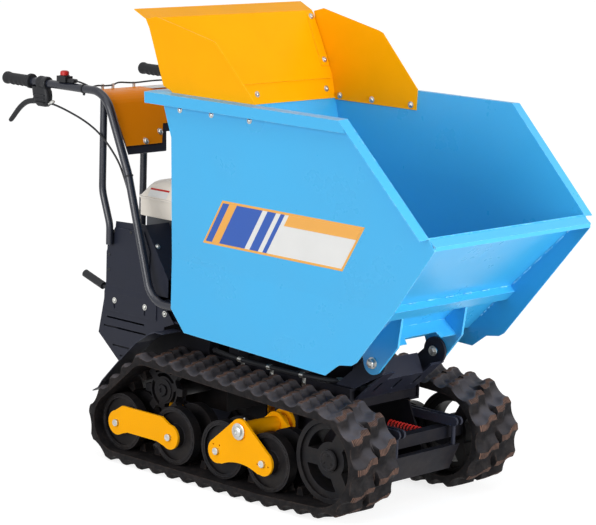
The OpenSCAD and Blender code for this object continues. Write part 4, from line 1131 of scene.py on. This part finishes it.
HOSE = ((-102, 130, 352), (-60, 157, 358), (40, 161, 352), (160, 161, 350), (300, 158, 350), (372, 140, 348),
        (396, 112, 345))
HOSE_R = 7.2
FITTING = ((0, 0), (8.5, 0), (9.5, 3), (9.5, 14), (8.2, 16), (8.2, 22), (0, 22))
FITTINGS = (((-112, 124, 351), (1, 0.4)), ((388, 120, 346), (0.6, -0.8)))
CLIP_PLACES = ((40, 161, 352), (160, 161, 350), (290, 158.2, 350))
HOSE_CLIP = ((7.3, -7), (8.5, -7), (8.5, 7), (7.3, 7))
TAB_HALF = 7
TAB_IN = 150.2
TAB_OUT = 152.2
TAB_LOW = 316
TAB_BOLT_Z = 327
TAB_BOLT_R = 5
hoses = bmesh.new()
ends = bmesh.new()
clips = bmesh.new()
for s in BOTH:
    tube(hoses, smooth_line([at(x, s * y, z) for x, y, z in HOSE]), HOSE_R, 12)
    for (x, y, z), (ahead, aside) in FITTINGS:
        spin(ends, FITTING, at(x, s * y, z), (ahead, s * aside, 0), 6)
    for x, y, z in CLIP_PLACES:
        spin(clips, HOSE_CLIP, at(x, s * y, z), AHEAD, 24)
        block(clips, (x - TAB_HALF, s * TAB_IN, TAB_LOW), (x + TAB_HALF, s * TAB_OUT, z + 4), 0.6, 2)
        hex_bolt(clips, at(x, s * TAB_OUT, TAB_BOLT_Z), (0, s, 0), TAB_BOLT_R)
piece("hoses", hoses, paint["grip"], "chassis")
piece("hose_ends", ends, zinc, "chassis")
piece("hose_clips", clips, zinc, "chassis")

# Side stickers: slanted bars in layers

STICKER_LOW = 716
STICKER_HIGH = 850
INNER_LOW = 723
INNER_HIGH = 843
STICKER_LEAN = 0.64
STICKER_T = 0.25


def sticker(name, material, shapes, lift):
    bm = bmesh.new()
    for s in BOTH:
        for outline in shapes:
            plate(bm, [at(x, s * (wall(x, z) + lift), z) for x, z in outline], ACROSS * s * STICKER_T)
    piece(name, bm, material, "skip")


def bar(x0, x1, z0=INNER_LOW, z1=INNER_HIGH):
    """Outline of a bar that leans forward, from x0 to x1 on the sticker's lower edge."""
    return [(x + (z - STICKER_LOW) * STICKER_LEAN, z) for x, z in ((x0, z0), (x1, z0), (x1, z1), (x0, z1))]


sticker("sticker_border", sticker_orange, [bar(28, 584, STICKER_LOW, STICKER_HIGH)], 0.15)
sticker("sticker_white", pale, [bar(36, 576)], 0.45)
sticker("sticker_blue", sticker_blue, [bar(36, 196), bar(216, 250), bar(268, 284)], 0.75)
sticker("sticker_bars", sticker_orange, [bar(62, 92), bar(300, 576, 811)], 1.05)

# Welds on the skip: the ramp's brackets and ribs, and the walls along the ramp and the floor

RAMP = Vector((0.7108, 0, 0.7035))
RAMP_OUT = Vector((0.7035, 0, -0.7108))
FLOOR_Z = 466
RAMP_FOOT = Vector((509, 0, FLOOR_Z))
WALL_SEAM = 4.2
# How far the beads' middle lies off the sheet, on open faces and in corners
FACE_LIFT = 1.2
CORNER_LIFT = 1.4
# Stretches along the ramp, as distances from its foot
WALL_STRETCHES = ((60, 165), (222, 515))
BRACKET_STRETCHES = ((4, 60), (70, 150))
BRACKET_Y = 142.2
STRETCH_BEADS = 6
BEAD_SHARE = 0.72
# Cross seams over the whole ramp and between its brackets: distance from the foot, and half a bead
RIB_SEAMS = (213.5, 170.5)
RIB_BEADS_Y = range(-280, 281, 80)
RIB_BEAD = 17
BRACKET_SEAM = 82.5
BRACKET_BEADS_Y = range(-120, 121, 60)
BRACKET_BEAD = 14
BRACKET_BEAD_R = 2.4
FLOOR_BEADS_X = range(-30, 451, 60)
FLOOR_BEAD = 34


def on_ramp(d, y, lift=FACE_LIFT):
    """A point of the ramp's underside at the distance d from its foot."""
    return beside(RAMP_FOOT + d * RAMP + lift * RAMP_OUT, y)


def ramp_wall(d, s):
    """The corner of the ramp and a side wall."""
    p = RAMP_FOOT + d * RAMP
    return on_ramp(d, s * (wall(p.x, p.z) - WALL_SEAM), CORNER_LIFT)


def floor_wall(x, s):
    """The corner of the floor and a side wall."""
    return at(x, s * (wall(x, FLOOR_Z) - WALL_SEAM), FLOOR_Z - CORNER_LIFT)


bm = bmesh.new()
for y in RIB_BEADS_Y:
    for d in RIB_SEAMS:
        weld(bm, on_ramp(d, y - RIB_BEAD), on_ramp(d, y + RIB_BEAD))
for s in BOTH:
    for first, last in WALL_STRETCHES:
        step = (last - first) / STRETCH_BEADS
        for k in range(STRETCH_BEADS):
            d = first + step * k
            weld(bm, ramp_wall(d, s), ramp_wall(d + step * BEAD_SHARE, s))
    for first, last in BRACKET_STRETCHES:
        weld(bm, on_ramp(first, s * BRACKET_Y), on_ramp(last, s * BRACKET_Y))
    for x in FLOOR_BEADS_X:
        weld(bm, floor_wall(x, s), floor_wall(x + FLOOR_BEAD, s))
for y in BRACKET_BEADS_Y:
    seam = [on_ramp(BRACKET_SEAM, y + end) for end in (-BRACKET_BEAD, BRACKET_BEAD)]
    weld(bm, *seam, BRACKET_BEAD_R)
piece("skip_welds", bm, seam_blue, "skip")


# Floor, light and camera

FLOOR_REACH = 60.0
FLOOR_DROP = 0.0005
FLOOR_GREY = (0.36, 0.36, 0.36, 1)
FLOOR_GLOW = 0.8
WORLD_LIGHT = 0.28
floor_mesh = bpy.data.meshes.new("floor")
corners = [(x * FLOOR_REACH, y * FLOOR_REACH, -FLOOR_DROP) for x, y in ((-1, -1), (1, -1), (1, 1), (-1, 1))]
floor_mesh.from_pydata(corners, [], [(0, 1, 2, 3)])
floor = bpy.data.objects.new("floor", floor_mesh)
scene.collection.objects.link(floor)
floor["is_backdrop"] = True
t = material_tree("studio_floor")
rays = t.add("LightPath").outputs
glow = t.times(t.greater(rays["Is Camera Ray"], rays["Is Glossy Ray"]), FLOOR_GLOW)
t.give({"Base Color": FLOOR_GREY, "Roughness": 0.9, "Specular IOR Level": 0.1,
        "Emission Color": WHITE, "Emission Strength": glow})
floor_mesh.materials.append(t.owner)

world = bpy.data.worlds.new("studio")
scene.world = world
t = Tree(world, "Background")
rays = t.add("LightPath").outputs
seen = t.greater(rays["Is Camera Ray"], rays["Is Glossy Ray"])
clear = t.greater(seen, rays["Is Transmission Ray"])
t.give({"Color": WHITE, "Strength": t.span(clear, 0.0, 1.0, WORLD_LIGHT, 1.0)})


def lamp(name, kind, place, target, energy, size=None, angle=None):
    data = bpy.data.lights.new(name, kind)
    data.energy = energy
    if size:
        data.shape = "RECTANGLE"
        data.size, data.size_y = size
    if angle:
        data.angle = math.radians(angle)
    obj = bpy.data.objects.new(name, data)
    obj.location = place
    obj.rotation_mode = "QUATERNION"
    obj.rotation_quaternion = (Vector(target) - Vector(place)).to_track_quat("-Z", "Y")
    scene.collection.objects.link(obj)


lamp("top", "SUN", (0.6, -2.0, 5.0), (0, 0, 0.5), 0.9, angle=60)
lamp("side_box", "AREA", (0.3, -4.6, 1.7), (0, 0, 0.65), 132, size=(3.2, 2.0))
lamp("front_box", "AREA", (4.6, 0.2, 1.2), (0.3, 0, 0.6), 185, size=(2.4, 1.6))

CAMERA_PLACE = (5.0564, -5.1999, 1.9402)
CAMERA_RIGHT = (0.71936, 0.69390, 0.03159)
CAMERA_UP = (-0.14657, 0.10717, 0.98336)
CAMERA_BACK = (0.67898, -0.71204, 0.17880)
camera_data = bpy.data.cameras.new("camera")
camera_data.lens = 149.43
camera_data.sensor_width = 36.0
camera_data.clip_end = 200.0
camera = bpy.data.objects.new("camera", camera_data)
scene.collection.objects.link(camera)
turned = Matrix((CAMERA_RIGHT, CAMERA_UP, CAMERA_BACK)).transposed().to_4x4()
camera.matrix_world = Matrix.Translation(CAMERA_PLACE) @ turned
scene.camera = camera

scene.view_settings.view_transform = "Standard"

low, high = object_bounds()
